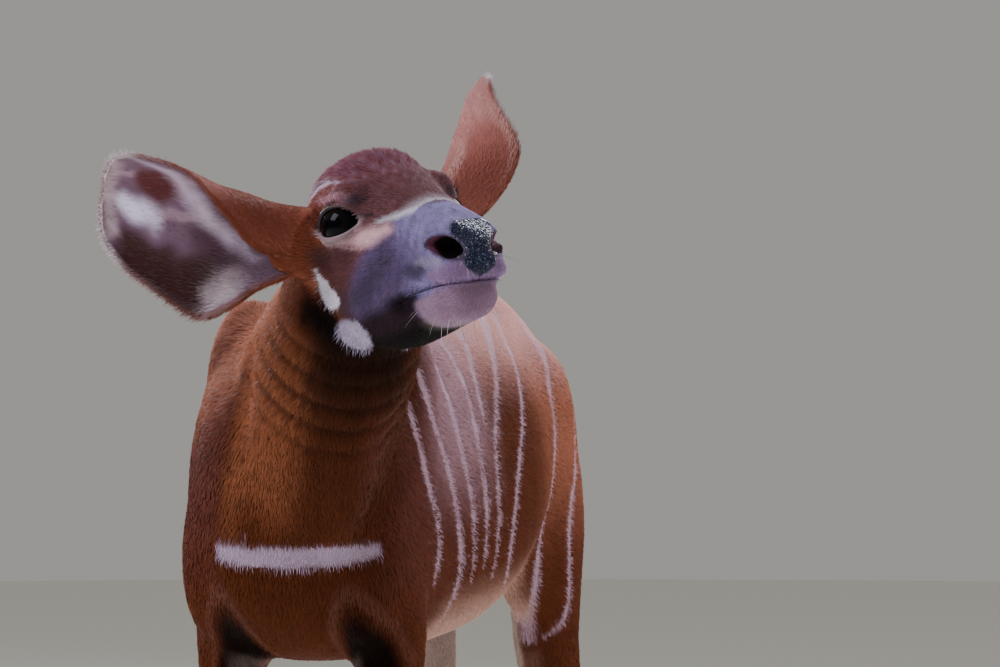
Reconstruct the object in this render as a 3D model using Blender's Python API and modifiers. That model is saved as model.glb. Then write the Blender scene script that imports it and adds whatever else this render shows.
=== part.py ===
"""Bongo calf, standing with its neck bent to its left and its muzzle raised.

A still, life-size model. The calf faces -Y, its left side is +X and +Z is up.
Each part of the body is one closed solid; neighbours meet face to face with a
hairline gap. Lengths are in metres and angles in degrees unless a name says
otherwise.
"""
import math
import random

import bmesh
import bpy
from mathutils import Matrix, Vector
from mathutils.bvhtree import BVHTree

MM = 0.001

# Trunk: heights over the floor and half widths, from the breast to the buttocks
WITHERS_HEIGHT = 0.725
BACK_HEIGHT = 0.716
CROUP_HEIGHT = 0.730
BRISKET_HEIGHT = 0.428
FLANK_HEIGHT = 0.472
BREAST_Y = -0.300
SHOULDER_Y = -0.195
BELLY_Y = 0.020
HIP_Y = 0.196
BUTTOCK_Y = 0.300
SHOULDER_HALF_WIDTH = 0.095
BELLY_HALF_WIDTH = 0.103
HIP_HALF_WIDTH = 0.074

# Neck: it leaves the chest and bends to the calf's left
NECK_HALF_WIDTH = 0.056
NECK_HALF_DEPTH = 0.080

# Head: the point midway between the two eyes, and how the head is turned
EYE_MIDPOINT = Vector((0.159, -0.4125, 0.769))
HEAD_YAW = 46.0
HEAD_PITCH_UP = 12.0
HEAD_ROLL = 6.0
EYEBALL_RADIUS = 18.5 * MM
EYE_SPAN = 106.0 * MM
EYE_OUTWARD_ANGLE = 57.0
EYE_OPENING = (38.0 * MM, 22.5 * MM)
NOSTRIL_RADII = (7.0 * MM, 11.0 * MM, 6.8 * MM)
MOUTH_DEPTH = 4.0 * MM
MOUTH_HALF_HEIGHT = 1.1 * MM
LID_THICKNESS = 2.6 * MM

# Ears
MUZZLE_START, MUZZLE_RUN, MUZZLE_LENGTHENING = 30.0, 70.0, 9.0
EAR_LENGTH = 150.0 * MM
EAR_HALF_WIDTH = 52.0 * MM
EAR_ROOT_DEPTH = 17.0 * MM
EAR_THICKNESS = 3.2 * MM

# Legs: heights of the joints over the floor
ELBOW_HEIGHT = 0.440
KNEE_HEIGHT = 0.262
HOCK_HEIGHT = 0.262
FETLOCK_HEIGHT = 0.082
CORONET_HEIGHT = 0.036
FORE_LEG_X = 0.066
HIND_LEG_X = 0.053
FORE_LEG_Y = -0.192
HIND_LEG_Y = 0.222
FORE_CUT_HEIGHT = 0.424
HIND_CUT_HEIGHT = 0.452

# Tail
TAIL_LENGTH = 0.250
TAIL_ROOT = Vector((0.0, 0.288, 0.688))

# Making
GAP = 0.3 * MM
BODY_VOXEL = 5.0 * MM
HEAD_VOXEL = 2.4 * MM
BODY_SOFTENING = 24
HEAD_SOFTENING = 9
BODY_TRIANGLES = 6050
HEAD_TRIANGLES = 3400

CHESTNUT = (0.200, 0.055, 0.018)
BLACK_HORN = (0.020, 0.017, 0.016)
EYE_BLACK = (0.008, 0.006, 0.006)


def clear_scene():
    """Remove whatever the file opened with."""
    for item in list(bpy.data.objects):
        bpy.data.objects.remove(item, do_unlink=True)


def collection(name):
    """A new collection under the scene's own."""
    made = bpy.data.collections.new(name)
    bpy.context.scene.collection.children.link(made)
    return made


def material(name, colour, roughness):
    """A plain Principled material."""
    made = bpy.data.materials.new(name)
    made.use_nodes = True
    shader = made.node_tree.nodes["Principled BSDF"]
    shader.inputs["Base Color"].default_value = (*colour, 1.0)
    shader.inputs["Roughness"].default_value = roughness
    shader.inputs["Metallic"].default_value = 0.0
    return made


def mesh_object(name, bm, where):
    """Turn a bmesh into an object of the collection `where`."""
    mesh = bpy.data.meshes.new(name)
    bm.to_mesh(mesh)
    bm.free()
    item = bpy.data.objects.new(name, mesh)
    where.objects.link(item)
    return item


def apply_modifiers(item):
    """Replace an object's mesh by what its modifiers make of it."""
    depsgraph = bpy.context.evaluated_depsgraph_get()
    mesh = bpy.data.meshes.new_from_object(item.evaluated_get(depsgraph))
    before = item.data
    item.modifiers.clear()
    item.data = mesh
    mesh.name = item.name
    bpy.data.meshes.remove(before)
    return item


def remove_object(item):
    """Delete an object and its mesh."""
    mesh = item.data
    bpy.data.objects.remove(item, do_unlink=True)
    bpy.data.meshes.remove(mesh)


def smooth_table(rows, count):
    """Read `count` rows off a smooth curve through the given rows of numbers."""
    made = []
    last = len(rows) - 1
    for step in range(count):
        place = last * step / (count - 1)
        index = min(int(place), last - 1)
        t = place - index
        before = rows[max(index - 1, 0)]
        start = rows[index]
        end = rows[index + 1]
        after = rows[min(index + 2, last)]
        made.append([
            0.5 * (2 * b + (c - a) * t + (2 * a - 5 * b + 4 * c - d) * t ** 2
                   + (3 * b - a - 3 * c + d) * t ** 3)
            for a, b, c, d in zip(before, start, end, after)
        ])
    return made


def section_points(centre, side, up, size, power, taper, count):
    """Points of one cross-section: a rounded box, narrower above by `taper`."""
    points = []
    for step in range(count):
        angle = math.tau * step / count
        across = math.copysign(abs(math.cos(angle)) ** (2 / power), math.cos(angle))
        height = math.copysign(abs(math.sin(angle)) ** (2 / power), math.sin(angle))
        width = size[0] * (1 - taper * height)
        points.append(centre + side * width * across + up * size[1] * height)
    return points


def loft(rings):
    """Bridge rings of points, each as long as the next, into one closed skin."""
    bm = bmesh.new()
    edges_before = None
    for number, points in enumerate(rings):
        made = bmesh.ops.create_circle(bm, segments=len(points), radius=1.0)
        for vertex, point in zip(made["verts"], points):
            vertex.co = point
        edges = list({edge for vertex in made["verts"] for edge in vertex.link_edges})
        if number in (0, len(rings) - 1):
            bmesh.ops.contextual_create(bm, geom=made["verts"])
        if edges_before:
            bmesh.ops.bridge_loops(bm, edges=edges_before + edges)
        edges_before = edges
    bmesh.ops.recalc_face_normals(bm, faces=bm.faces)
    return bm


def limb(rows, count, segments, across=Vector((1, 0, 0)), power=2.0):
    """A loft along a path: rows are x, y, z, half width, half depth, taper.

    Its width lies along `across`, or level where that is None.
    """
    rows = smooth_table(rows, count)
    centres = [Vector(row[:3]) for row in rows]
    rings = []
    for number, row in enumerate(rows):
        ahead = centres[min(number + 1, count - 1)]
        behind = centres[max(number - 1, 0)]
        along = (ahead - behind).normalized()
        level = along.cross(Vector((0, 0, 1)))
        up = along.cross(across or -level).normalized()
        side = up.cross(along).normalized()
        rings.append(section_points(
            centres[number], side, up, (row[3], row[4]), power, row[5], segments))
    return loft(rings)


def ellipsoid(centre, radii, turn=None, segments=20):
    """A ball stretched to three radii, turned and placed."""
    bm = bmesh.new()
    matrix = Matrix.Translation(centre)
    if turn is not None:
        matrix = matrix @ turn
    matrix = matrix @ Matrix.Diagonal((*radii, 1.0))
    bmesh.ops.create_uvsphere(
        bm, u_segments=segments, v_segments=segments // 2, radius=1.0, matrix=matrix)
    return bm


def mirrored(bm):
    """A copy of a bmesh on the other side of the plane x = 0."""
    made = bm.copy()
    bmesh.ops.scale(made, vec=(-1, 1, 1), verts=made.verts)
    bmesh.ops.reverse_faces(made, faces=made.faces)
    return made


def merge(pieces):
    """Put several bmeshes in one, as separate shells."""
    whole = bmesh.new()
    for piece in pieces:
        mesh = bpy.data.meshes.new("piece")
        piece.to_mesh(mesh)
        piece.free()
        whole.from_mesh(mesh)
        bpy.data.meshes.remove(mesh)
    return whole


def fuse(item, voxel, rounds, softness=None):
    """Grow overlapping shells together and soften the valleys between them."""
    remesh = item.modifiers.new("fuse", "REMESH")
    remesh.mode = "VOXEL"
    remesh.voxel_size = voxel
    apply_modifiers(item)
    soften = item.modifiers.new("soften", "SMOOTH")
    soften.factor = 0.5
    soften.iterations = rounds
    if softness:
        group = item.vertex_groups.new(name="softness")
        for vertex in item.data.vertices:
            group.add([vertex.index], softness(vertex.co), "REPLACE")
        soften.vertex_group = group.name
    apply_modifiers(item)
    item.vertex_groups.clear()
    return item


def thin_out(item, triangles):
    """Collapse a mesh to about so many triangles."""
    item.data.calc_loop_triangles()
    now = len(item.data.loop_triangles)
    if now > triangles:
        reduce = item.modifiers.new("reduce", "DECIMATE")
        reduce.ratio = triangles / now
        reduce.use_collapse_triangulate = True
        apply_modifiers(item)
    return item


def boolean(item, other, operation):
    """Join, cut or intersect with another object, and keep the result."""
    made = item.modifiers.new("boolean", "BOOLEAN")
    made.operation = operation
    made.solver = "EXACT"
    made.object = other
    return apply_modifiers(item)


def keep_largest(item):
    """Keep only the largest closed surface of a mesh."""
    bm = bmesh.new()
    bm.from_mesh(item.data)
    bmesh.ops.remove_doubles(bm, verts=bm.verts, dist=0.002 * MM)
    left = set(bm.verts)
    largest = []
    while left:
        shell = [left.pop()]
        for vertex in shell:
            for edge in vertex.link_edges:
                other = edge.other_vert(vertex)
                if other in left:
                    left.remove(other)
                    shell.append(other)
        if len(shell) > len(largest):
            largest = shell
    keep = set(largest)
    bmesh.ops.delete(bm, geom=[v for v in bm.verts if v not in keep], context="VERTS")
    bmesh.ops.triangulate(bm, faces=bm.faces)
    bm.to_mesh(item.data)
    bm.free()
    return item


def copy_object(item, name, where):
    """A copy with its own mesh."""
    made = bpy.data.objects.new(name, item.data.copy())
    where.objects.link(made)
    return made


def block(name, where, matrix, low, high):
    """A cutter: the box from `low` to `high` in the axes of `matrix`."""
    bm = bmesh.new()
    size = Vector(high) - Vector(low)
    middle = (Vector(high) + Vector(low)) / 2
    place = matrix @ Matrix.Translation(middle) @ Matrix.Diagonal((*size, 1.0))
    bmesh.ops.create_cube(bm, size=1.0, matrix=place)
    item = mesh_object(name, bm, where)
    item.hide_render = True
    item.display_type = "WIRE"
    return item


# Head

HEAD_PLACE = (
    Matrix.Translation(EYE_MIDPOINT)
    @ Matrix.Rotation(math.radians(HEAD_YAW), 4, "Z")
    @ Matrix.Rotation(math.radians(-HEAD_PITCH_UP), 4, "X")
    @ Matrix.Rotation(math.radians(-HEAD_ROLL), 4, "Y")
)


def head_point(left, forward, up):
    """A point of the head in millimetres from the point midway between the eyes."""
    muzzle = min(max((forward - MUZZLE_START) / MUZZLE_RUN, 0), 1.2)
    return Vector((left * MM, -(forward + muzzle * MUZZLE_LENGTHENING) * MM, up * MM))


def head_loft(rows, count, segments, power):
    """A loft along the head: rows are forward, top, bottom, half width, taper."""
    rings = []
    for forward, top, bottom, half_width, taper in smooth_table(rows, count):
        centre = head_point(0, forward, (top + bottom) / 2)
        size = (half_width * MM, (top - bottom) / 2 * MM)
        rings.append(section_points(
            centre, Vector((1, 0, 0)), Vector((0, 0, 1)), size, power, taper, segments))
    return loft(rings)


def skull():
    """The upper head: a domed brow, broad cheeks and a muzzle that narrows."""
    rows = [
        (-108, 18, -22, 14, 0.00),
        (-96, 36, -40, 34, 0.00),
        (-70, 49, -50, 45, 0.05),
        (-38, 53, -50, 46, 0.05),
        (-10, 50, -52, 43, 0.08),
        (14, 35, -58, 37, 0.10),
        (38, 15, -63, 33, 0.10),
        (62, -3, -67, 29.5, 0.05),
        (84, -17, -70, 27, 0.00),
        (97, -26, -69, 22, 0.00),
        (103, -34, -66, 14, 0.00),
    ]
    return head_loft(rows, 30, 36, 2.3)


def lower_jaw():
    """The lower jaw, from its angle under the ear to the chin."""
    rows = [
        (-66, -20, -76, 24, 0.0),
        (-48, -20, -88, 35, 0.0),
        (-20, -30, -95, 37, -0.05),
        (15, -42, -95, 32, -0.05),
        (45, -52, -94, 28.5, -0.05),
        (70, -60, -94, 25, 0.0),
        (87, -66, -90, 19, 0.0),
        (95, -71, -83, 11, 0.0),
    ]
    return head_loft(rows, 24, 32, 2.3)


def eye_place(side):
    """Where an eyeball sits: its centre, and its axes with +Z looking outwards."""
    angle = math.radians(EYE_OUTWARD_ANGLE)
    outward = Vector((side * math.sin(angle), -math.cos(angle), 0.06)).normalized()
    apex = Vector((side * EYE_SPAN / 2, 0, 0))
    centre = apex - outward * EYEBALL_RADIUS
    upward = (Vector((0, 0, 1)) - outward * outward.z).normalized()
    sideways = upward.cross(outward)
    axes = Matrix((sideways, upward, outward)).transposed().to_4x4()
    return Matrix.Translation(centre) @ axes


# Each ear's root in millimetres of the head, its axis and the way its cup opens

EAR_POSES = {
    1: ((44, -67, 11), (0.64, 0.42, 0.64), (0.76, -0.50, -0.41)),
    -1: ((-46, -68, 8), (-0.76, 0.44, 0.38), (-0.62, -0.62, -0.48)),
}


def ear_axes(side):
    """The back of an ear's root, its axis, and the way its cup opens."""
    root, axis, opening = EAR_POSES[side]
    axis = Vector(axis).normalized()
    opening = Vector(opening)
    opening = (opening - axis * opening.dot(axis)).normalized()
    return head_point(*root), axis, opening


def face_masses():
    """Rounded masses of the face, left and right: centre and radii in millimetres."""
    paired = [
        ((27, -26, -40), (17, 48, 42)),
        ((24, 20, -54), (13, 38, 26)),
        ((30, -8, 15), (18, 28, 17)),
        ((26, 6, -28), (15, 36, 26)),
        ((17, 88, -45), (11, 15, 16)),
        ((13, 90, -63), (14, 12, 9)),
    ]
    single = [
        ((0, 95, -43), (16, 11, 15)),
        ((0, 79, -85), (18, 17, 10)),
    ]
    masses = []
    for (left, forward, up), radii in paired:
        ball = ellipsoid(head_point(left, forward, up), [value * MM for value in radii])
        masses.append(mirrored(ball))
        masses.append(ball)
    for (left, forward, up), radii in single:
        masses.append(ellipsoid(head_point(left, forward, up), [v * MM for v in radii]))
    for side in (-1, 1):
        centre = eye_place(side).translation
        reach = EYEBALL_RADIUS + LID_THICKNESS
        masses.append(ellipsoid(centre, (reach, reach, reach), None, 28))
        masses.append(ear_base(side))
    return masses


def ear_base(side):
    """The thick root of an ear, from the side of the skull to the ear's cup."""
    back, axis, opening = ear_axes(side)
    middle = back + opening * EAR_ROOT_DEPTH
    rows = []
    for out, width, depth in (
        (-34, 21, 17), (-16, 28, 22), (2, 27, 21.5), (12, 24, 19), (19, 16, 12), (22, 6, 5),
    ):
        rows.append((*(middle + axis * out * MM), width * MM, depth * MM, 0))
    return limb(rows, 14, 20, opening.cross(axis))


def neck_rows():
    """The neck's path, from deep in the chest to the back of the head."""
    top = HEAD_PLACE @ head_point(0, -74, -22)
    nape = HEAD_PLACE @ head_point(0, -40, -22)
    half, deep = NECK_HALF_WIDTH, NECK_HALF_DEPTH
    return [
        (0.000, -0.120, 0.582, half + 0.004, deep + 0.006, 0.05),
        (0.000, -0.185, 0.584, half + 0.006, deep + 0.024, 0.05),
        (0.018, -0.238, 0.609, half + 0.005, deep + 0.033, 0.05),
        (0.050, -0.282, 0.647, half + 0.003, deep + 0.017, 0.05),
        (0.082, -0.322, 0.684, half + 0.001, deep - 0.002, 0.03),
        (*top, half - 0.007, deep - 0.019, 0.00),
        (*nape, half - 0.022, deep - 0.040, 0.00),
    ]


def neck_flesh():
    """The neck as one oval tube, deeper than wide."""
    return limb(neck_rows(), 30, 36, None)


# Trunk and legs

def trunk_flesh():
    """The barrel of the body, from the breast to the buttocks."""
    shoulder, belly, hip = SHOULDER_HALF_WIDTH, BELLY_HALF_WIDTH, HIP_HALF_WIDTH
    rows = [
        (BREAST_Y, 0.565, 0.502, 0.024, 0.00, 2.0),
        (BREAST_Y + 0.012, 0.612, 0.472, 0.052, 0.00, 2.1),
        (BREAST_Y + 0.038, 0.652, 0.450, 0.074, 0.00, 2.3),
        (BREAST_Y + 0.075, 0.688, 0.434, shoulder - 0.004, 0.02, 2.5),
        (SHOULDER_Y + 0.010, WITHERS_HEIGHT - 0.013, BRISKET_HEIGHT, shoulder, 0.04, 2.5),
        (-0.120, WITHERS_HEIGHT, BRISKET_HEIGHT, shoulder + 0.001, 0.10, 2.5),
        (BELLY_Y - 0.070, BACK_HEIGHT + 0.002, BRISKET_HEIGHT + 0.002, belly - 0.002, 0.14, 2.3),
        (BELLY_Y + 0.010, BACK_HEIGHT, 0.436, belly, 0.14, 2.2),
        (0.095, CROUP_HEIGHT - 0.008, 0.452, belly - 0.010, 0.20, 2.0),
        (0.150, CROUP_HEIGHT, FLANK_HEIGHT, hip + 0.005, 0.32, 1.9),
        (HIP_Y, CROUP_HEIGHT - 0.002, 0.490, hip, 0.42, 1.9),
        (BUTTOCK_Y - 0.060, CROUP_HEIGHT - 0.014, 0.505, hip - 0.008, 0.40, 1.9),
        (BUTTOCK_Y - 0.027, 0.695, 0.525, 0.052, 0.25, 2.0),
        (BUTTOCK_Y - 0.009, 0.668, 0.550, 0.032, 0.10, 2.0),
        (BUTTOCK_Y, 0.640, 0.580, 0.014, 0.00, 2.0),
    ]
    rings = []
    for y, top, bottom, half_width, taper, power in smooth_table(rows, 48):
        centre = Vector((0, y, (top + bottom) / 2))
        size = (half_width, (top - bottom) / 2)
        rings.append(section_points(
            centre, Vector((1, 0, 0)), Vector((0, 0, 1)), size, power, taper, 44))
    return loft(rings)


def body_muscles():
    """Shoulder blade, upper arm, point of the hip and thigh of each side."""
    paired = [
        ((0.056, -0.165, 0.630), (0.038, 0.060, 0.088), 16),
        ((0.064, -0.212, 0.525), (0.030, 0.056, 0.084), -20),
        ((0.028, 0.135, 0.655), (0.030, 0.055, 0.040), 0),
        ((0.043, 0.208, 0.578), (0.031, 0.078, 0.104), -10),
        ((0.050, 0.160, 0.492), (0.024, 0.040, 0.055), 22),
    ]
    masses = []
    for centre, radii, lean in paired:
        turn = Matrix.Rotation(math.radians(lean), 4, "X")
        ball = ellipsoid(Vector(centre), radii, turn, 28)
        masses.append(mirrored(ball))
        masses.append(ball)
    return masses


def fore_leg_rows(side, step):
    """Foreleg, shoulder to coronet; `step` moves the foot forwards."""
    x, y = side * FORE_LEG_X, FORE_LEG_Y

    def at(height):
        return y - step * (1 - height / ELBOW_HEIGHT)

    knee, fetlock = KNEE_HEIGHT, FETLOCK_HEIGHT
    return [
        (x * 0.82, y + 0.010, 0.600, 0.018, 0.034, 0),
        (x * 0.92, y - 0.002, 0.540, 0.026, 0.048, 0),
        (x * 0.98, y - 0.002, 0.490, 0.0285, 0.0480, 0),
        (x, at(0.45), 0.450, 0.0280, 0.0420, 0),
        (x, at(0.39), 0.390, 0.0235, 0.0315, 0),
        (x, at(0.325), 0.325, 0.0190, 0.0240, 0),
        (x, at(knee + 0.022), knee + 0.022, 0.0188, 0.0210, 0),
        (x, at(knee) - 0.002, knee, 0.0206, 0.0222, 0),
        (x, at(knee - 0.030), knee - 0.030, 0.0166, 0.0188, 0),
        (x, at(0.180), 0.180, 0.0134, 0.0154, 0),
        (x, at(0.125), 0.125, 0.0130, 0.0152, 0),
        (x, at(fetlock + 0.014), fetlock + 0.014, 0.0148, 0.0174, 0),
        (x, at(fetlock) + 0.002, fetlock, 0.0164, 0.0192, 0),
        (x, at(0.062) - 0.004, 0.060, 0.0144, 0.0154, 0),
        (x, at(CORONET_HEIGHT) - 0.014, CORONET_HEIGHT, 0.0176, 0.0190, 0),
        (x, at(CORONET_HEIGHT) - 0.022, 0.018, 0.0164, 0.0175, 0),
    ]


def hind_leg_rows(side, step):
    """Hindleg, hip to coronet; `step` moves the foot forwards."""
    x, y = side * HIND_LEG_X, HIND_LEG_Y

    def at(height):
        return y - step * (1 - height / CROUP_HEIGHT)

    hock, fetlock = HOCK_HEIGHT, FETLOCK_HEIGHT
    return [
        (x * 0.70, y - 0.030, 0.650, 0.018, 0.040, 0),
        (x * 0.88, y - 0.012, 0.595, 0.024, 0.066, 0),
        (x * 0.97, at(0.53) - 0.010, 0.530, 0.0270, 0.0720, 0),
        (x, at(0.47) - 0.020, 0.470, 0.0280, 0.0600, 0),
        (x, at(0.42) - 0.018, 0.420, 0.0265, 0.0460, 0),
        (x, at(0.36) + 0.006, 0.360, 0.0220, 0.0330, 0),
        (x, at(0.31) + 0.034, 0.310, 0.0178, 0.0245, 0),
        (x, at(hock) + 0.060, hock, 0.0178, 0.0240, 0),
        (x, at(hock - 0.035) + 0.062, hock - 0.035, 0.0168, 0.0205, 0),
        (x, at(0.180) + 0.058, 0.180, 0.0138, 0.0160, 0),
        (x, at(0.125) + 0.054, 0.125, 0.0132, 0.0156, 0),
        (x, at(fetlock + 0.014) + 0.051, fetlock + 0.014, 0.0148, 0.0176, 0),
        (x, at(fetlock) + 0.052, fetlock, 0.0164, 0.0194, 0),
        (x, at(0.062) + 0.044, 0.060, 0.0144, 0.0154, 0),
        (x, at(CORONET_HEIGHT) + 0.034, CORONET_HEIGHT, 0.0176, 0.0190, 0),
        (x, at(CORONET_HEIGHT) + 0.026, 0.018, 0.0164, 0.0175, 0),
    ]


# How far before and behind a leg's middle the cut through it reaches

FORE_REACH = (-0.200, 0.200)
HIND_REACH = (-0.115, 0.250)

LEGS = {
    "foreleg_left": (fore_leg_rows, 1, 0.000, FORE_CUT_HEIGHT),
    "foreleg_right": (fore_leg_rows, -1, 0.012, FORE_CUT_HEIGHT),
    "hindleg_left": (hind_leg_rows, 1, -0.014, HIND_CUT_HEIGHT),
    "hindleg_right": (hind_leg_rows, -1, 0.030, HIND_CUT_HEIGHT),
}


def leg_flesh(rows_of, side, step):
    """One leg with its dewclaws, before it is parted from the trunk."""
    rows = rows_of(side, step)
    pieces = [limb(rows, 40, 22)]
    fetlock = Vector(rows[-4][:3])
    hock = Vector(rows[-9][:3])
    for apart in (-1, 1):
        centre = fetlock + Vector((apart * 0.0085, 0.0185, -0.008))
        pieces.append(ellipsoid(centre, (0.0052, 0.0065, 0.0085), None, 12))
    if rows_of is hind_leg_rows:
        point = hock + Vector((0, 0.019, 0.012))
        pieces.append(ellipsoid(point, (0.0105, 0.0135, 0.022), None, 16))
    else:
        elbow = Vector(rows[3][:3]) + Vector((0, 0.030, 0.002))
        pieces.append(ellipsoid(elbow, (0.018, 0.022, 0.028), None, 16))
    return pieces


def body_softness(point):
    """How far a point of the body is softened: trunk fully, limbs and head little."""
    leg = min(max((point.z - 0.40) / 0.09, 0.0), 1.0)
    reach = (point - EYE_MIDPOINT).length
    head = min(max((reach - 0.13) / 0.10, 0.0), 1.0)
    return 0.16 + 0.84 * min(leg, head)


def flesh(name, where, fine):
    """The whole body of flesh: fine around the head, or coarse all over."""
    pieces = [skull(), lower_jaw(), *face_masses()]
    for piece in pieces:
        piece.transform(HEAD_PLACE)
    pieces.append(neck_flesh())
    if not fine:
        pieces.append(trunk_flesh())
        pieces += body_muscles()
        for rows_of, side, step, _ in LEGS.values():
            pieces += leg_flesh(rows_of, side, step)
    item = mesh_object(name, merge(pieces), where)
    if fine:
        return fuse(item, HEAD_VOXEL, HEAD_SOFTENING)
    return fuse(item, BODY_VOXEL, BODY_SOFTENING, body_softness)


# Cuts between the parts

def plane_axes(point, direction):
    """Axes at a point, with +Z along a direction."""
    turn = direction.to_track_quat("Z", "Y").to_matrix().to_4x4()
    return Matrix.Translation(point) @ turn


HEAD_CUT = plane_axes(
    HEAD_PLACE @ head_point(0, -66, -40),
    (HEAD_PLACE.to_3x3() @ Vector((0, -0.62, 0.78))).normalized(),
)
CHEST_CUT = plane_axes(Vector((0.010, -0.262, 0.600)), Vector((0.28, -0.78, 0.56)).normalized())


def half_space(name, where, axes, start, reach=0.5):
    """A cutter that fills the far side of a plane."""
    return block(name, where, axes, (-reach, -reach, start), (reach, reach, start + reach))


def keep_inside(item, cutter):
    """Keep what lies inside a cutter, and remove the cutter."""
    boolean(item, cutter, "INTERSECT")
    remove_object(cutter)
    return item


def cut_away(item, cutter):
    """Take away what lies inside a cutter, and remove the cutter."""
    boolean(item, cutter, "DIFFERENCE")
    remove_object(cutter)
    return item


# Eyes, nostrils and mouth

def eyeball(name, side, where):
    """The ball of an eye, in the axes of the body."""
    radius = EYEBALL_RADIUS
    place = HEAD_PLACE @ eye_place(side)
    return mesh_object(name, ellipsoid_in(place, (radius, radius, radius), 22), where)


def ellipsoid_in(place, radii, segments):
    """A stretched ball in the axes of a matrix."""
    bm = bmesh.new()
    bmesh.ops.create_uvsphere(
        bm, u_segments=segments, v_segments=segments // 2, radius=1.0,
        matrix=place @ Matrix.Diagonal((*radii, 1.0)))
    return bm


def lid_opening(side, where):
    """A cutter with the almond outline of the parted lids."""
    bm = bmesh.new()
    made = bmesh.ops.create_circle(bm, segments=20, radius=1.0, cap_ends=True)
    for vertex in made["verts"]:
        across, height = vertex.co.x, vertex.co.y
        vertex.co.x = across * EYE_OPENING[0] / 2
        vertex.co.y = height * EYE_OPENING[1] / 2 * (1 - 0.35 * across ** 4)
        vertex.co.z = 4.0 * MM
    top = bmesh.ops.extrude_face_region(bm, geom=list(bm.faces))
    raised = [part for part in top["geom"] if isinstance(part, bmesh.types.BMVert)]
    bmesh.ops.translate(bm, verts=raised, vec=(0, 0, 30 * MM))
    bmesh.ops.recalc_face_normals(bm, faces=bm.faces)
    bm.transform(HEAD_PLACE @ eye_place(side))
    return mesh_object("lid_opening", bm, where)


def nostril(side, where):
    """A cutter for one nostril, opening forwards and outwards."""
    turn = Matrix.Rotation(math.radians(side * 38), 4, "Z")
    place = HEAD_PLACE @ Matrix.Translation(head_point(side * 20.5, 98, -42)) @ turn
    bm = ellipsoid_in(place, NOSTRIL_RADII, 16)
    return mesh_object("nostril", bm, where)


def mouth_line(where, head):
    """A cutter along the closed lips: a thin wedge laid on the muzzle's surface."""
    rows = [
        (-32, 38, -61), (-30, 60, -65), (-25, 78, -69), (-14, 96, -70),
        (0, 102, -69.5), (14, 96, -70), (25, 78, -69), (30, 60, -65), (32, 38, -61),
    ]
    bm = bmesh.new()
    bm.from_mesh(head.data)
    surface = BVHTree.FromBMesh(bm)
    bm.free()
    rings = []
    for left, forward, up in smooth_table(rows, 29):
        point = HEAD_PLACE @ head_point(left, forward, up)
        middle = HEAD_PLACE @ head_point(0, min(forward, 76), up)
        outward = (point - middle).normalized()
        lips = surface.ray_cast(middle, outward)[0]
        height = HEAD_PLACE.to_3x3() @ Vector((0, 0, MOUTH_HALF_HEIGHT * 2))
        inner = lips - outward * MOUTH_DEPTH
        outer = lips + outward * MOUTH_DEPTH
        rings.append([inner, outer - height, outer + height])
    return mesh_object("mouth_line", loft(rings), where)


# Ears

def ear_sheet(side, rows_count, columns):
    """The rolled leaf of an ear: an open sheet from its root to its tip.

    The rows give the place along the ear, half width, roll in degrees, depth of the
    cup, and how far the lower and the upper margin reach beyond an even arc.
    """
    root, axis, opening = ear_axes(side)
    across = opening.cross(axis) * side
    shape = smooth_table([
        (-0.08, 21, 160, 0.72, 1.00, 1.10), (0.14, 26, 128, 0.80, 1.06, 1.26),
        (0.28, 33, 100, 0.92, 1.26, 1.30), (0.42, 42, 78, 1.0, 1.34, 1.18),
        (0.56, 48, 62, 1.0, 1.10, 1.07), (0.70, 48, 52, 1.0, 0.92, 1.04),
        (0.82, 45, 46, 1.0, 0.85, 1.03), (0.91, 38, 42, 1.0, 0.83, 1.03),
        (0.97, 27, 40, 1.0, 0.85, 1.02), (1.00, 9, 38, 1.0, 0.90, 1.00),
    ], rows_count)
    bm = bmesh.new()
    made = bmesh.ops.create_grid(
        bm, x_segments=columns, y_segments=rows_count - 1, size=1.0)
    for vertex in made["verts"]:
        t, s = vertex.co.x, (vertex.co.y + 1) / 2
        row = shape[min(round(s * (rows_count - 1)), rows_count - 1)]
        length, width, roll = row[0] * EAR_LENGTH, row[1] * MM, math.radians(row[2])
        width *= EAR_HALF_WIDTH / (48 * MM)
        radius = width / math.sin(min(roll, math.pi / 2))
        angle = t * roll
        sag = -0.012 * 4 * row[0] * (1 - row[0])
        back = root + axis * length + Vector((0, 0, sag))
        margin = row[4] if t * across.z < 0 else row[5]
        vertex.co = (back + across * radius * math.sin(angle) * margin
                     + opening * radius * row[3] * (1 - math.cos(angle)))
    return bm


def ear(name, side, where, head):
    """An ear: the leaf given its thickness, seated on the head."""
    bm = ear_sheet(side, 15, 12)
    bm.transform(HEAD_PLACE)
    item = mesh_object(name, bm, where)
    thick = item.modifiers.new("thickness", "SOLIDIFY")
    thick.thickness = EAR_THICKNESS
    thick.offset = 0.0
    apply_modifiers(item)
    seat = copy_object(head, "seat", where)
    swell(seat, GAP)
    boolean(item, seat, "DIFFERENCE")
    remove_object(seat)
    return keep_largest(item)


def swell(item, distance):
    """Move every point outwards along its normal."""
    normals = [vertex.normal.copy() for vertex in item.data.vertices]
    for vertex, normal in zip(item.data.vertices, normals):
        vertex.co += normal * distance


# Hooves

def claw(place, apart, forward):
    """One claw of a hoof: an egg-shaped sole and a wall that slopes back."""
    rows = [
        (0.0000, 0.0135, 0.0310, 0.0000),
        (0.0120, 0.0132, 0.0285, 0.0035),
        (0.0260, 0.0124, 0.0240, 0.0090),
        (CORONET_HEIGHT + 0.012, 0.0112, 0.0200, 0.0150),
    ]
    rings = []
    for height, half_width, half_length, back in rows:
        points = []
        for step in range(14):
            angle = math.tau * step / 14
            across = math.cos(angle) * half_width
            along = math.sin(angle) * half_length
            narrow = 1 - 0.38 * max(0.0, -along / half_length) ** 2
            points.append(place + Vector((
                apart * 0.0118 + across * narrow, back - forward + along, height)))
        rings.append(points)
    return loft(rings)


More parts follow.
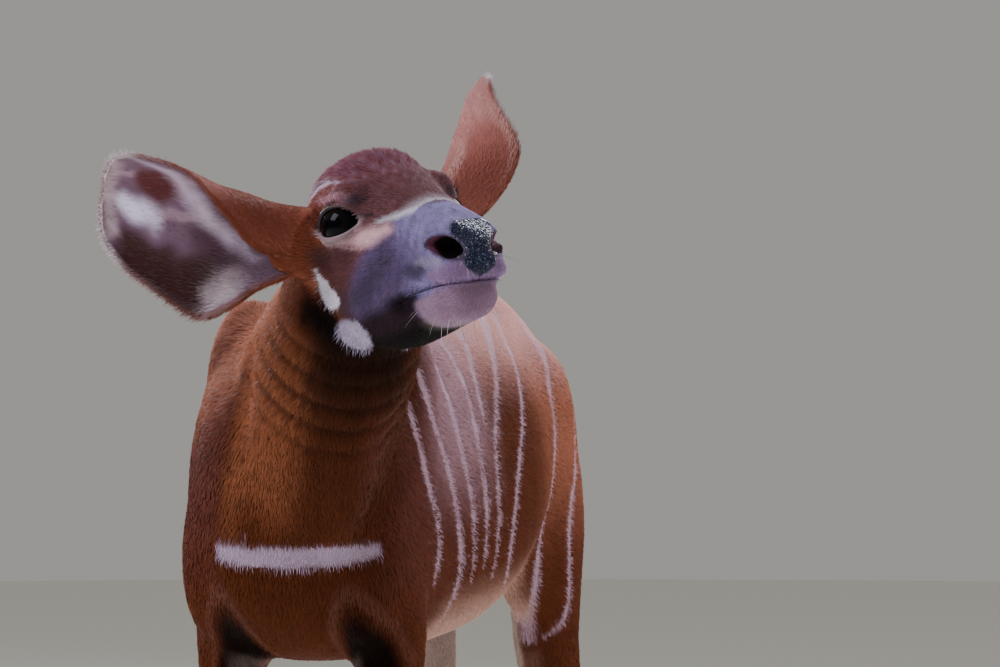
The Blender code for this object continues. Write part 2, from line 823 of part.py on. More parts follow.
def hoof(name, rows, where, leg_cut):
    """Two claws and the heel that joins them, cut off under the coronet."""
    coronet = Vector(rows[-2][:3])
    place = Vector((coronet.x, coronet.y, 0))
    pieces = [claw(place, apart, 0.0155) for apart in (-1, 1)]
    heel = ellipsoid(
        place + Vector((0, 0.004, 0.022)), (0.0135, 0.0135, 0.017), None, 14)
    pieces.append(heel)
    item = union(name, pieces, where)
    keep_inside(item, block("under", where, leg_cut, (-0.1, -0.1, -0.2), (0.1, 0.1, -GAP)))
    floor = block("floor", where, Matrix.Identity(4), (-1, -1, 0), (1, 1, 1))
    keep_inside(item, floor)
    return keep_largest(item)


def union(name, pieces, where):
    """Join closed bmeshes into one closed mesh."""
    scratch = collection(name + "_pieces")
    first = mesh_object(name, pieces[0], where)
    for number, piece in enumerate(pieces[1:]):
        mesh_object(f"{name}_{number}", piece, scratch)
    made = first.modifiers.new("join", "BOOLEAN")
    made.operation = "UNION"
    made.solver = "EXACT"
    made.operand_type = "COLLECTION"
    made.collection = scratch
    apply_modifiers(first)
    for item in list(scratch.objects):
        remove_object(item)
    bpy.data.collections.remove(scratch)
    return first


# Tail

def tail_path(fraction):
    """A point of the hanging tail, 0 at the root and 1 at the last bone."""
    out = 0.040 * math.sin(min(fraction * 2.6, math.pi / 2))
    drop = TAIL_LENGTH * fraction
    return TAIL_ROOT + Vector((0.004 * math.sin(fraction * 2.5), out, -drop * 0.94 - 0.002))


def tail(name, where):
    """The tail's core and the locks of its tuft."""
    rows = []
    for step in range(9):
        fraction = step / 8
        centre = tail_path(fraction)
        radius = (13.0 - 6.5 * fraction) * MM
        rows.append((*centre, radius, radius, 0))
    start = Vector(rows[0][:3]) + Vector((0, -0.030, 0.008))
    rows.insert(0, (*start, 15 * MM, 15 * MM, 0))
    pieces = [limb(rows, 18, 12)]
    draw = random.Random(5)
    for number in range(16):
        fraction = 0.50 + 0.46 * number / 15
        angle = number * 2.399
        pieces.append(tail_lock(fraction, angle, draw))
    return union(name, pieces, where)


def tail_lock(fraction, angle, draw):
    """One flat lock that leaves the tail, bends down and tapers to its tip."""
    root = tail_path(fraction)
    outward = Vector((math.cos(angle), math.sin(angle), 0))
    side = Vector((-outward.y, outward.x, 0))
    length = draw.uniform(0.060, 0.078)
    width = draw.uniform(4.6, 6.0) * MM
    rings = []
    for step in range(5):
        t = step / 4
        spread = 0.001 + 0.0085 * math.sin(t * 2.2)
        centre = root + outward * spread + Vector((0, 0, -length * t))
        half = width * (1 - 0.86 * t ** 1.6)
        thick = 1.7 * MM * (1 - 0.7 * t)
        rings.append([
            centre + side * half, centre + outward * thick,
            centre - side * half, centre - outward * thick,
        ])
    return loft(rings)


# Assembly

def shade(item, made):
    """Give a part its material, with soft edges where it is round."""
    item.data.materials.clear()
    item.data.materials.append(made)
    item.data.shade_smooth()
    item.data.set_sharp_from_angle(angle=math.radians(40))


def main():
    clear_scene()
    calf = collection("bongo_calf")
    scratch = collection("cutters")
    coat = material("chestnut_coat", CHESTNUT, 0.80)
    horn = material("black_hoof", BLACK_HORN, 0.45)
    glossy = material("dark_eye", EYE_BLACK, 0.08)

    body = thin_out(flesh("body", scratch, False), BODY_TRIANGLES)
    head = flesh("head", calf, True)
    keep_inside(head, half_space("throat", scratch, HEAD_CUT, -0.002))
    thin_out(keep_largest(head), HEAD_TRIANGLES)
    keep_inside(head, half_space("throat", scratch, HEAD_CUT, GAP / 2))

    for side in (-1, 1):
        cut_away(head, lid_opening(side, scratch))
        cut_away(head, nostril(side, scratch))
    cut_away(head, mouth_line(scratch, head))
    for side, name in ((1, "eye_left"), (-1, "eye_right")):
        ball = eyeball(name, side, calf)
        socket = copy_object(ball, "socket", scratch)
        swell(socket, GAP)
        cut_away(head, socket)
        shade(ball, glossy)
    keep_largest(head)

    for side, name in ((1, "ear_left"), (-1, "ear_right")):
        shade(ear(name, side, calf, head), coat)

    neck = copy_object(body, "neck", calf)
    keep_inside(neck, half_space("chest", scratch, CHEST_CUT, GAP / 2))
    cut_away(neck, half_space("throat", scratch, HEAD_CUT, -GAP / 2))
    keep_largest(neck)
    cut_away(body, half_space("chest", scratch, CHEST_CUT, -GAP / 2))

    legs = []
    for name, (rows_of, side, step, cut) in LEGS.items():
        rows = rows_of(side, step)
        front = rows_of is fore_leg_rows
        y = FORE_LEG_Y if front else HIND_LEG_Y
        middle = Matrix.Translation((side * 0.08, y, 0))
        leg = copy_object(body, name, calf)
        before, behind = FORE_REACH if front else HIND_REACH
        low = (-0.077, before, -0.1)
        keep_inside(leg, block("leg", scratch, middle, low, (0.1, behind, cut)))
        cut_away(body, block("leg", scratch, middle, low, (0.1, behind, cut + GAP)))
        coronet = Vector(rows[-2][:3])
        tilt = Matrix.Rotation(math.radians(-14), 4, "X")
        under = Matrix.Translation(coronet) @ tilt
        cut_away(leg, block("hoof", scratch, under, (-0.1, -0.1, -0.2), (0.1, 0.1, 0)))
        keep_largest(leg)
        shade(leg, coat)
        legs.append(leg)
        shade(hoof(name.replace("leg", "_hoof"), rows, calf, under), horn)

    torso = copy_object(body, "torso", calf)
    remove_object(body)
    keep_largest(torso)
    brush = tail("tail", calf)
    seat = copy_object(torso, "seat", scratch)
    swell(seat, GAP)
    cut_away(brush, seat)
    keep_largest(brush)
    for item in (head, neck, torso, brush):
        shade(item, coat)

    settle_origin(calf)


def settle_origin(where):
    """Move the calf so that its box stands on the origin."""
    corners = [vertex.co for item in where.objects for vertex in item.data.vertices]
    low = [min(corner[axis] for corner in corners) for axis in range(3)]
    high = [max(corner[axis] for corner in corners) for axis in range(3)]
    shift = Vector((-(low[0] + high[0]) / 2, -(low[1] + high[1]) / 2, -low[2]))
    for item in where.objects:
        item.data.transform(Matrix.Translation(shift))


main()
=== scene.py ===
# %% [markdown]
# # A bongo calf, dressed for its portrait
# The solids of the calf are already built: they say how big it is and where each
# part sits. This script gives it a skin, eyes, ears, hooves and a coat of hair.
# Everything is measured in metres, +Z is up, the calf's trunk faces -Y and its
# left side is +X. The first cell loads the solids and keeps their box.

# %% Load the solids
import math

import bmesh
import bpy
import numpy as np
from mathutils import Matrix, Vector
from mathutils.bvhtree import BVHTree


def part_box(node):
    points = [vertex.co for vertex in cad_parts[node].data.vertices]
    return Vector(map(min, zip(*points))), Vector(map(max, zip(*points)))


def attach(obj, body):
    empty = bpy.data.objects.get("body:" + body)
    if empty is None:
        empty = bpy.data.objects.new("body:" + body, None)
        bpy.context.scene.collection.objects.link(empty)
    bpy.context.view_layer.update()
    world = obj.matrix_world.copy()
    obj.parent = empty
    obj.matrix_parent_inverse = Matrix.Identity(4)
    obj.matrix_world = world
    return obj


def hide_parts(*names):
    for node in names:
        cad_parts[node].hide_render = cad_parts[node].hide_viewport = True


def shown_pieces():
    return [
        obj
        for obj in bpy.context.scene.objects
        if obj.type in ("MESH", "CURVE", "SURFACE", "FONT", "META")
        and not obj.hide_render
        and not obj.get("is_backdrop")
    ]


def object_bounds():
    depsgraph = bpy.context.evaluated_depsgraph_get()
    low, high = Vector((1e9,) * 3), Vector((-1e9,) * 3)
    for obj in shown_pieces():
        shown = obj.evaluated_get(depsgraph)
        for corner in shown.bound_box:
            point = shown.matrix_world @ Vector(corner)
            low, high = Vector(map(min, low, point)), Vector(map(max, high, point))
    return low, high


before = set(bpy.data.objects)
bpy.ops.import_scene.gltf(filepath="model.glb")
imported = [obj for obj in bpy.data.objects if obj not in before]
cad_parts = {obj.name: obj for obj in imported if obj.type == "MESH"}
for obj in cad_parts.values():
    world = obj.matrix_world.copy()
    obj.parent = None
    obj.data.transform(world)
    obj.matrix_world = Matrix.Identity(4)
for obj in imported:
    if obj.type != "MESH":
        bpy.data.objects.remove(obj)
CAD_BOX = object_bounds()
MM = 0.001
print("solids:", sorted(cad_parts))

# %% [markdown]
# ## Where the head is
# The head is turned to the calf's left, lifted and tipped a little, so everything
# on it is measured in the head's own axes: left, forward and up in millimetres
# from the point midway between the eyes. A matrix takes those to the room. The
# solids' own eyeballs show where that point lies, so nothing is placed by guess.

# %% Axes of the head
EYE_MIDPOINT = Vector((0.159, -0.4125, 0.769))
HEAD_YAW, HEAD_PITCH_UP, HEAD_ROLL = 46.0, 12.0, 6.0
EYE_RADIUS = 18.5 * MM
EYE_SPAN = 106.0 * MM
EYE_OUTWARD_ANGLE = 57.0
EYE_UPWARD_LEAN = 0.06
MUZZLE_START, MUZZLE_RUN, MUZZLE_LENGTHENING = 30.0, 70.0, 9.0
LEFTWARDS = Vector((1, 0, 0))
UPWARDS = Vector((0, 0, 1))


def lengthened(forward):
    """The muzzle drawn out a little, in millimetres forward of the eyes."""
    return forward + MUZZLE_LENGTHENING * np.clip((forward - MUZZLE_START) / MUZZLE_RUN, 0, 1.2)


def head_point(left, forward, up):
    """A point of the head, from millimetres."""
    return Vector((left * MM, -float(lengthened(forward)) * MM, up * MM))


def eye_place(side):
    """An eyeball's centre, with +Z looking outwards, in the head's axes."""
    angle = math.radians(EYE_OUTWARD_ANGLE)
    outward = Vector((side * math.sin(angle), -math.cos(angle), EYE_UPWARD_LEAN)).normalized()
    centre = Vector((side * EYE_SPAN / 2, 0, 0)) - outward * EYE_RADIUS
    upward = (UPWARDS - outward * outward.z).normalized()
    axes = Matrix((upward.cross(outward), upward, outward)).transposed().to_4x4()
    return Matrix.Translation(centre) @ axes


def box_centre(node):
    """The middle of a solid's box."""
    low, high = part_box(node)
    return (Vector(low) + Vector(high)) / 2


HEAD_TURN = (
    Matrix.Rotation(math.radians(HEAD_YAW), 4, "Z")
    @ Matrix.Rotation(math.radians(-HEAD_PITCH_UP), 4, "X")
    @ Matrix.Rotation(math.radians(-HEAD_ROLL), 4, "Y")
)
between_eyes = (box_centre("eye_left") + box_centre("eye_right")) / 2
between_places = (eye_place(1).translation + eye_place(-1).translation) / 2
HEAD = Matrix.Translation(between_eyes - HEAD_TURN @ between_places) @ HEAD_TURN
ORIGIN = HEAD.translation - EYE_MIDPOINT
print("the calf's own origin in the room:", [round(value, 4) for value in ORIGIN])

# %% [markdown]
# ## The camera
# The picture was taken from a long way off with a long lens, level with the calf's
# shoulders and a little to its left. A long lens keeps the muzzle from looking too
# large. The camera gets that distance, height and lens; the frame is 3 by 2.

# %% Camera
CAMERA_AZIMUTH = math.radians(20.0)
CAMERA_DISTANCE = 3.70
CAMERA_HEIGHT = 0.685
CAMERA_ASIDE = 0.0816
CAMERA_LENS = 162.6

camera_data = bpy.data.cameras.new("camera")
camera_data.lens = CAMERA_LENS
camera = bpy.data.objects.new("camera", camera_data)
bpy.context.scene.collection.objects.link(camera)
rightwards = Vector((math.cos(CAMERA_AZIMUTH), math.sin(CAMERA_AZIMUTH), 0))
towards = Vector((math.sin(CAMERA_AZIMUTH), -math.cos(CAMERA_AZIMUTH), 0))
camera.location = (ORIGIN + rightwards * CAMERA_ASIDE + towards * CAMERA_DISTANCE
                   + Vector((0, 0, CAMERA_HEIGHT)))
camera.rotation_euler = (math.radians(90), 0, CAMERA_AZIMUTH)
bpy.context.scene.camera = camera
print("camera at", [round(value, 3) for value in camera.location])

# %% [markdown]
# ## Light and floor
# A museum piece is lit softly from above and one side, so that the coat shows its
# lie without hard shadows. Four area lights do that: a wide one high on the
# picture's left, a weaker one on its right, and two behind that pick out the hair
# along the edges. The floor is one large pale disc.

# %% Light and floor
def simple_material(name, colour, roughness):
    """A Principled material with one colour, to be dressed further."""
    made = bpy.data.materials.new(name)
    made.use_nodes = True
    shader = made.node_tree.nodes["Principled BSDF"]
    shader.inputs["Base Color"].default_value = (*colour, 1)
    shader.inputs["Roughness"].default_value = roughness
    return made


def area_light(name, place, aim, size, power, colour):
    """A soft square light that looks at a point."""
    data = bpy.data.lights.new(name, "AREA")
    data.size = size
    data.energy = power
    data.color = colour
    item = bpy.data.objects.new(name, data)
    bpy.context.scene.collection.objects.link(item)
    item.location = place
    item.rotation_euler = (Vector(aim) - Vector(place)).to_track_quat("-Z", "Y").to_euler()


AIM = (0, -0.1, 0.6)
area_light("key_light", (-1.9, -2.2, 3.1), AIM, 1.9, 148, (0.94, 0.94, 1.0))
area_light("fill_light", (2.8, 0.7, 1.7), AIM, 1.8, 34, (1.0, 0.94, 0.92))
area_light("rim_light", (-2.3, 1.5, 2.0), AIM, 1.0, 84, (0.90, 0.90, 1.0))
area_light("edge_light", (0.6, 2.2, 2.8), AIM, 1.5, 125, (0.92, 0.93, 1.0))

STUDIO_GREY = (0.82, 0.80, 0.76, 1)
STUDIO_STRENGTH = 0.42
FLOOR_RADIUS = 9.0

world = bpy.data.worlds.new("studio")
bpy.context.scene.world = world
world.use_nodes = True
studio = world.node_tree.nodes["Background"]
studio.inputs["Color"].default_value = STUDIO_GREY
studio.inputs["Strength"].default_value = STUDIO_STRENGTH

floor_mesh = bmesh.new()
bmesh.ops.create_circle(floor_mesh, cap_ends=True, segments=96, radius=FLOOR_RADIUS)
floor_data = bpy.data.meshes.new("floor")
floor_mesh.to_mesh(floor_data)
floor_mesh.free()
floor = bpy.data.objects.new("floor", floor_data)
bpy.context.scene.collection.objects.link(floor)
floor_data.materials.append(simple_material("pale_floor", (0.84, 0.82, 0.76), 0.85))
floor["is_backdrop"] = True
print("floor radius", FLOOR_RADIUS, "m, four lights")

# %% [markdown]
# ## Tools for soft shapes
# Flesh has few flat places, so most shapes here are lofts: rings of points, each
# a rounded section, bridged one to the next. A ring starts as a circle that the
# bmesh operator makes, its points are moved to the section, and bridge_loops makes
# the skin between two rings. A few rows of numbers, read through a smooth curve,
# are enough for a whole limb.

# %% Loft and ball
def smooth_table(rows, count):
    """Read `count` rows off a smooth curve through the given rows of numbers."""
    made = []
    last = len(rows) - 1
    for step in range(count):
        place = last * step / (count - 1)
        index = min(int(place), last - 1)
        t = place - index
        near = rows[max(index - 1, 0)], rows[index], rows[index + 1], rows[min(index + 2, last)]
        made.append([
            0.5 * (2 * b + (c - a) * t + (2 * a - 5 * b + 4 * c - d) * t ** 2
                   + (3 * b - a - 3 * c + d) * t ** 3)
            for a, b, c, d in zip(*near)
        ])
    return made


def section(centre, side, up, size, power=2.0, taper=0.0, count=32):
    """Points of a rounded section, narrower above by `taper`."""
    points = []
    for step in range(count):
        angle = math.tau * step / count
        across = math.copysign(abs(math.cos(angle)) ** (2 / power), math.cos(angle))
        height = math.copysign(abs(math.sin(angle)) ** (2 / power), math.sin(angle))
        width = size[0] * (1 - taper * height)
        points.append(centre + side * width * across + up * size[1] * height)
    return points


def loft(rings, closed=False):
    """Bridge rings of points into one skin, capped at its ends unless it closes."""
    bm = bmesh.new()
    loops = []
    for points in rings:
        made = bmesh.ops.create_circle(bm, segments=len(points), radius=1.0)
        for vertex, point in zip(made["verts"], points):
            vertex.co = point
        loops.append(made["verts"])
    edges = [list({edge for vertex in loop for edge in vertex.link_edges}) for loop in loops]
    for first, second in zip(edges, edges[1:]):
        bmesh.ops.bridge_loops(bm, edges=first + second)
    if closed:
        bmesh.ops.bridge_loops(bm, edges=edges[-1] + edges[0])
    else:
        bmesh.ops.contextual_create(bm, geom=loops[0])
        bmesh.ops.contextual_create(bm, geom=loops[-1])
    bmesh.ops.recalc_face_normals(bm, faces=bm.faces)
    return bm


def ball(place, radii, segments=24):
    """A ball stretched to three radii in the axes of a matrix."""
    bm = bmesh.new()
    bmesh.ops.create_uvsphere(
        bm, u_segments=segments, v_segments=segments // 2, radius=1.0,
        matrix=place @ Matrix.Diagonal((*radii, 1.0)))
    return bm


def mirrored(bm):
    """The same shape on the other side of the head."""
    made = bm.copy()
    bmesh.ops.scale(made, vec=(-1, 1, 1), verts=made.verts)
    bmesh.ops.reverse_faces(made, faces=made.faces)
    return made


def gathered(pieces):
    """Several bmeshes as separate shells of one."""
    whole = bmesh.new()
    for piece in pieces:
        mesh = bpy.data.meshes.new("piece")
        piece.to_mesh(mesh)
        piece.free()
        whole.from_mesh(mesh)
        bpy.data.meshes.remove(mesh)
    return whole


def as_object(name, bm):
    """A bmesh as an object of the scene."""
    mesh = bpy.data.meshes.new(name)
    bm.to_mesh(mesh)
    bm.free()
    item = bpy.data.objects.new(name, mesh)
    bpy.context.scene.collection.objects.link(item)
    return item


def sided(name, side):
    """A piece's name with the side of the calf that it is on."""
    return name + ("_left" if side > 0 else "_right")


print("tools for lofts and balls ready")

# %% [markdown]
# ## Tools that change a mesh
# A modifier is the quickest way to remesh, soften, thin out or cut a shape. Here
# each one is applied at once, so that the next step works on plain points. The
# points themselves are read and written as one array, which is far quicker than
# one at a time.
#
# Bridging, triangulating and merging may list the same faces in another order each
# time they run. The coat is planted by random draws that follow that order, so a
# mesh that they work on is first sorted by place, and the calf is the same each time.

# %% Modifiers and arrays
SOFTNESS_LEVELS = 20


def applied(item):
    """Replace an object's mesh by what its modifiers make of it."""
    depsgraph = bpy.context.evaluated_depsgraph_get()
    mesh = bpy.data.meshes.new_from_object(item.evaluated_get(depsgraph))
    before = item.data
    item.modifiers.clear()
    item.data = mesh
    bpy.data.meshes.remove(before)


def removed(item):
    """Delete an object and its mesh."""
    mesh = item.data
    bpy.data.objects.remove(item, do_unlink=True)
    bpy.data.meshes.remove(mesh)


def remeshed(item, voxel):
    """One closed skin round all of an object's shells."""
    remesh = item.modifiers.new("grow_together", "REMESH")
    remesh.mode = "VOXEL"
    remesh.voxel_size = voxel
    applied(item)


def points_of(item):
    """An object's points as an array."""
    flat = np.empty(len(item.data.vertices) * 3)
    item.data.vertices.foreach_get("co", flat)
    return flat.reshape(-1, 3)


def normals_of(item):
    """The direction outwards at each point."""
    flat = np.empty(len(item.data.vertices) * 3)
    item.data.vertex_normals.foreach_get("vector", flat)
    return flat.reshape(-1, 3)


def move_points(item, points):
    """Put an object's points where an array says."""
    item.data.vertices.foreach_set("co", np.ascontiguousarray(points).ravel())
    item.data.update()


def in_fixed_order(item):
    """List an object's points and faces in an order that only their places decide."""
    points = points_of(item)
    order = np.lexsort(points.T)
    rank = np.empty(len(order), dtype=int)
    rank[order] = np.arange(len(order))
    rank = rank.tolist()
    faces = []
    for face in item.data.polygons:
        corners = [rank[corner] for corner in face.vertices]
        first = corners.index(min(corners))
        faces.append(corners[first:] + corners[:first])
    before = item.data
    item.data = bpy.data.meshes.new(item.name)
    item.data.from_pydata(points[order].tolist(), [], sorted(faces))
    bpy.data.meshes.remove(before)
    return item


def softened(item, rounds, amount):
    """Smooth a mesh, by an amount from 0 to 1 for each point."""
    soften = item.modifiers.new("soften", "SMOOTH")
    soften.factor = 0.5
    soften.iterations = rounds
    group = item.vertex_groups.new(name="amount")
    levels = np.round(np.clip(amount, 0, 1) * SOFTNESS_LEVELS).astype(int)
    for level in range(SOFTNESS_LEVELS + 1):
        chosen = np.nonzero(levels == level)[0].tolist()
        group.add(chosen, level / SOFTNESS_LEVELS, "REPLACE")
    soften.vertex_group = "amount"
    applied(item)
    item.vertex_groups.clear()


def cut_out(item, cutter):
    """Cut a shape out of an object; the cutter is then removed."""
    made = item.modifiers.new("opening", "BOOLEAN")
    made.operation = "DIFFERENCE"
    made.solver = "EXACT"
    made.object = cutter
    applied(item)
    removed(cutter)


def within(distance, soft):
    """1 inside a mark and 0 outside, with a soft edge."""
    return 1 - smooth_step(distance, -soft, soft)


def smooth_step(value, low, high):
    """0 below `low`, 1 above `high`, and an easy curve between."""
    t = np.clip((value - low) / (high - low), 0, 1)
    return t * t * (3 - 2 * t)


print("an easy curve from 0 to 1:", [round(float(smooth_step(t / 4, 0, 1)), 2) for t in range(5)])

# %% [markdown]
# ## The flesh of the head
# A skull is too varied for one loft, so the head grows from overlapping shells: a
# long loft for the brow and muzzle, another for the lower jaw, and balls for the
# cheeks, the nostrils' wings, the lips and the eyeballs' sockets. A voxel remesh
# then makes one skin of them all, and a few rounds of smoothing melt the joins.

# %% Shells of the head
HEAD_SQUARENESS = 2.3
HEAD_SEGMENTS = 40


def head_loft(rows, count):
    """A loft along the head: rows are forward, top, bottom, half width, taper."""
    rings = []
    for forward, top, bottom, half_width, taper in smooth_table(rows, count):
        centre = head_point(0, forward, (top + bottom) / 2)
        size = (half_width * MM, (top - bottom) / 2 * MM)
        rings.append(section(centre, LEFTWARDS, UPWARDS, size, HEAD_SQUARENESS, taper,
                             HEAD_SEGMENTS))
    return loft(rings)


def skull():
    """Domed brow, broad cheeks and a muzzle that narrows."""
    return head_loft([
        (-108, 18, -22, 14, 0.00), (-96, 36, -40, 34, 0.00), (-70, 49, -50, 45, 0.05),
        (-38, 53, -50, 46, 0.05), (-10, 50, -52, 43, 0.08), (14, 35, -58, 37, 0.10),
        (38, 15, -63, 33, 0.10), (62, -3, -67, 29.5, 0.05), (84, -17, -70, 27, 0.00),
        (97, -26, -69, 22, 0.00), (103, -34, -66, 14, 0.00),
    ], 36)


def lower_jaw():
    """From the angle of the jaw under the ear to the chin."""
    return head_loft([
        (-66, -20, -76, 24, 0.0), (-48, -20, -88, 35, 0.0), (-20, -30, -95, 37, -0.05),
        (15, -42, -95, 32, -0.05), (45, -52, -94, 28.5, -0.05), (70, -60, -94, 25, 0.0),
        (87, -66, -90, 19, 0.0), (95, -71, -83, 11, 0.0),
    ], 30)


def in_millimetres(left, forward, up, radii):
    """A ball of the head, in millimetres."""
    return ball(Matrix.Translation(head_point(left, forward, up)), [value * MM for value in radii])


# For each side: the back of the root in millimetres, the ear's axis, and the way its cup opens.
EAR_POSES = {
    1: ((44, -67, 11), (0.64, 0.42, 0.64), (0.76, -0.50, -0.41)),
    -1: ((-46, -68, 8), (-0.76, 0.44, 0.38), (-0.62, -0.62, -0.48)),
}
EAR_ROOT_DEPTH = 17.0 * MM
LID_THICKNESS = 2.6 * MM


def ear_axes(side):
    """The back of an ear's root, its axis, and the way its cup opens."""
    root, axis, opening = EAR_POSES[side]
    axis = Vector(axis).normalized()
    opening = Vector(opening)
    return head_point(*root), axis, (opening - axis * opening.dot(axis)).normalized()


def ear_root_middle(side):
    """The middle of an ear's thick root, in the head's axes."""
    back, _, opening = ear_axes(side)
    return back + opening * EAR_ROOT_DEPTH


def ear_base(side):
    """The thick root between the skull and the ear's cup: rows are out, width, depth."""
    _, axis, opening = ear_axes(side)
    across = opening.cross(axis)
    middle = ear_root_middle(side)
    rings = []
    for out, width, depth in smooth_table([
        (-34, 21, 17), (-16, 28, 22), (2, 27, 21.5), (12, 24, 19), (19, 16, 12), (22, 6, 5),
    ], 18):
        rings.append(section(middle + axis * out * MM, across, opening, (width * MM, depth * MM)))
    return loft(rings)


def head_shells():
    """All the shells of the head, in the room."""
    shells = [skull(), lower_jaw()]
    for left, forward, up, radii in (
        (27, -26, -40, (17, 48, 42)), (24, 20, -54, (13, 38, 26)), (30, -8, 15, (18, 28, 17)),
        (26, 6, -28, (15, 36, 26)), (17, 88, -45, (11, 15, 16)), (13, 90, -63, (14, 12, 9)),
    ):
        shell = in_millimetres(left, forward, up, radii)
        shells += [mirrored(shell), shell]
    shells.append(in_millimetres(0, 95, -43, (16, 11, 15)))
    shells.append(in_millimetres(0, 79, -85, (18, 17, 10)))
    reach = EYE_RADIUS + LID_THICKNESS
    for side in (-1, 1):
        shells.append(ball(Matrix.Translation(eye_place(side).translation), (reach,) * 3,
                           HEAD_SEGMENTS))
        shells.append(ear_base(side))
    for shell in shells:
        shell.transform(HEAD)
    return shells


HEAD_SHELLS = head_shells()
print("shells of the head:", len(HEAD_SHELLS))

# %% [markdown]
# ## One skin from two grains
# The trunk is large and plain, and the head is small and full of detail. One voxel
# size for both would be either too coarse or far too heavy. So the skin is remeshed
# twice, coarsely for the body and finely for the head, both are cut through by the
# same plane across the neck, and the two rims are bridged. Copies of the solids
# give the body's form; each is swelled a little so that neighbours overlap.

# %% Body and head skins
BODY_GRAIN = 4.0 * MM
HEAD_GRAIN = 1.7 * MM
OVERLAP = 0.5 * MM
MERGE_WITHIN = 0.01 * MM
FLESH = ("head", "neck", "torso", "foreleg_left", "foreleg_right",
         "hindleg_left", "hindleg_right")


def solid_copy(node):
    """A solid's shape as a merged bmesh, swelled so that it meets its neighbours."""
    bm = bmesh.new()
    bm.from_mesh(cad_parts[node].data)
    bmesh.ops.remove_doubles(bm, verts=bm.verts, dist=MERGE_WITHIN)
    bm.normal_update()
    for vertex in bm.verts:
        vertex.co += vertex.normal * OVERLAP
    return bm


TAIL_ROOT = ORIGIN + Vector((0.0, 0.288, 0.688))
TAIL_LENGTH = 0.250
TAIL_ARCH = 0.040
TAIL_STUMP = 13.0 * MM
TAIL_SEGMENTS = 16


def tail_path(fraction):
    """A point of the hanging tail, 0 at the root and 1 at the last bone."""
    out = TAIL_ARCH * math.sin(min(fraction * 2.6, math.pi / 2))
    drop = TAIL_LENGTH * fraction
    return TAIL_ROOT + Vector((0.004 * math.sin(fraction * 2.5), out, -drop * 0.94 - 0.002))


def tail_core():
    """The bony part of the tail, a little slimmer than its coat."""
    inside_rump = TAIL_ROOT + Vector((0, -0.030, 0.008))
    rings = [section(inside_rump, LEFTWARDS, Vector((0, 0.5, 1)).normalized(),
                     (TAIL_STUMP, TAIL_STUMP), count=TAIL_SEGMENTS)]
    for step in range(15):
        fraction = step / 14
        ahead = tail_path(min(fraction + 0.05, 1)) - tail_path(max(fraction - 0.05, 0))
        up = ahead.cross(LEFTWARDS).normalized()
        radius = (11.0 - 6.5 * fraction) * MM
        rings.append(section(tail_path(fraction), LEFTWARDS, up, (radius, radius),
                             count=TAIL_SEGMENTS))
    return loft(rings)


body = as_object("body_flesh", gathered([solid_copy(node) for node in FLESH] + [tail_core()]))
remeshed(body, BODY_GRAIN)
head = as_object("head_flesh", gathered([solid_copy("head"), solid_copy("neck")] + HEAD_SHELLS))
remeshed(head, HEAD_GRAIN)
print("points:", len(body.data.vertices), "in the body,", len(head.data.vertices), "in the head")

# %% [markdown]
# ## How deep the skin lies
# Hair stands on the skin, and the solids are the outside of the hair. So the skin
# sinks below them by the depth of the coat: most on the trunk and the neck, little
# on the face and the shanks. The softening is uneven too, because fine limbs and
# features would melt away under as much of it as the trunk takes.

# %% Depth and softness
def to_calf(points):
    """Room to the calf's own axes."""
    return points - np.array(ORIGIN)


def to_head(points):
    """Room to millimetres of the head: left, forward, up."""
    turned = np.hstack([points, np.ones((len(points), 1))]) @ np.array(HEAD.inverted()).T
    return np.stack([turned[:, 0], -turned[:, 1], turned[:, 2]], axis=1) / MM


NECK_PLANE = (0.0, -66.0, -40.0)
NECK_DIRECTION = (0.0, 0.62, 0.78)
BODY_SOFTENING, HEAD_SOFTENING = 10, 30
SWELLING_KEPT = 0.6
BODY_THINNING = 0.66


def beyond_neck(points):
    """How far points lie past the back of the jaw towards the face, in millimetres."""
    return (to_head(points) - np.array(NECK_PLANE)) @ np.array(NECK_DIRECTION)


def coat_depth(points):
    """Depth of the coat over the skin, in metres."""
    height = to_calf(points)[:, 2]
    trunk = smooth_step(height, 0.36, 0.50)
    face = smooth_step(beyond_neck(points), -30, 60)
    return ((1.2 + 2.0 * trunk) * (1 - face) + 0.8 * face) * MM


def face_softness(points):
    """Soft cheeks and orbits; crisper lids and muzzle."""
    place = to_head(points)
    eyes = to_head(np.array([HEAD @ eye_place(side).translation for side in (1, -1)]))
    from_eye = np.min([np.linalg.norm(place - eye, axis=1) for eye in eyes], axis=0)
    muzzle = smooth_step(place[:, 1], 60, 82)
    return (1 - 0.78 * muzzle) * (0.25 + 0.75 * smooth_step(from_eye, 19.5, 22.5))


def body_softness(points):
    """Soft trunk; crisper legs."""
    return 0.25 + 0.75 * smooth_step(to_calf(points)[:, 2], 0.42, 0.52)


softened(body, BODY_SOFTENING, body_softness(points_of(body)))
softened(head, HEAD_SOFTENING, face_softness(points_of(head)))
for item, swelled in ((body, OVERLAP), (head, 0.0)):
    depth = coat_depth(points_of(item)) + swelled * SWELLING_KEPT
    move_points(item, points_of(item) - normals_of(item) * depth[:, None])
thin = body.modifiers.new("thin_out", "DECIMATE")
thin.ratio = BODY_THINNING
applied(body)
print("coat depth on the trunk:", round(float(coat_depth(points_of(body)).max()) / MM, 1), "mm")

# %% [markdown]
# ## Modelling the face by pushing
# The remeshed head is soft and even. A maker would now push the clay with a thumb:
# deepen the groove of the upper lip, raise the rims of the nostrils, hollow the
# cheek in front of the eye and lift a fold over the upper lid. Each push is a point,
# a reach and a move in millimetres of the head, and it fades out smoothly.

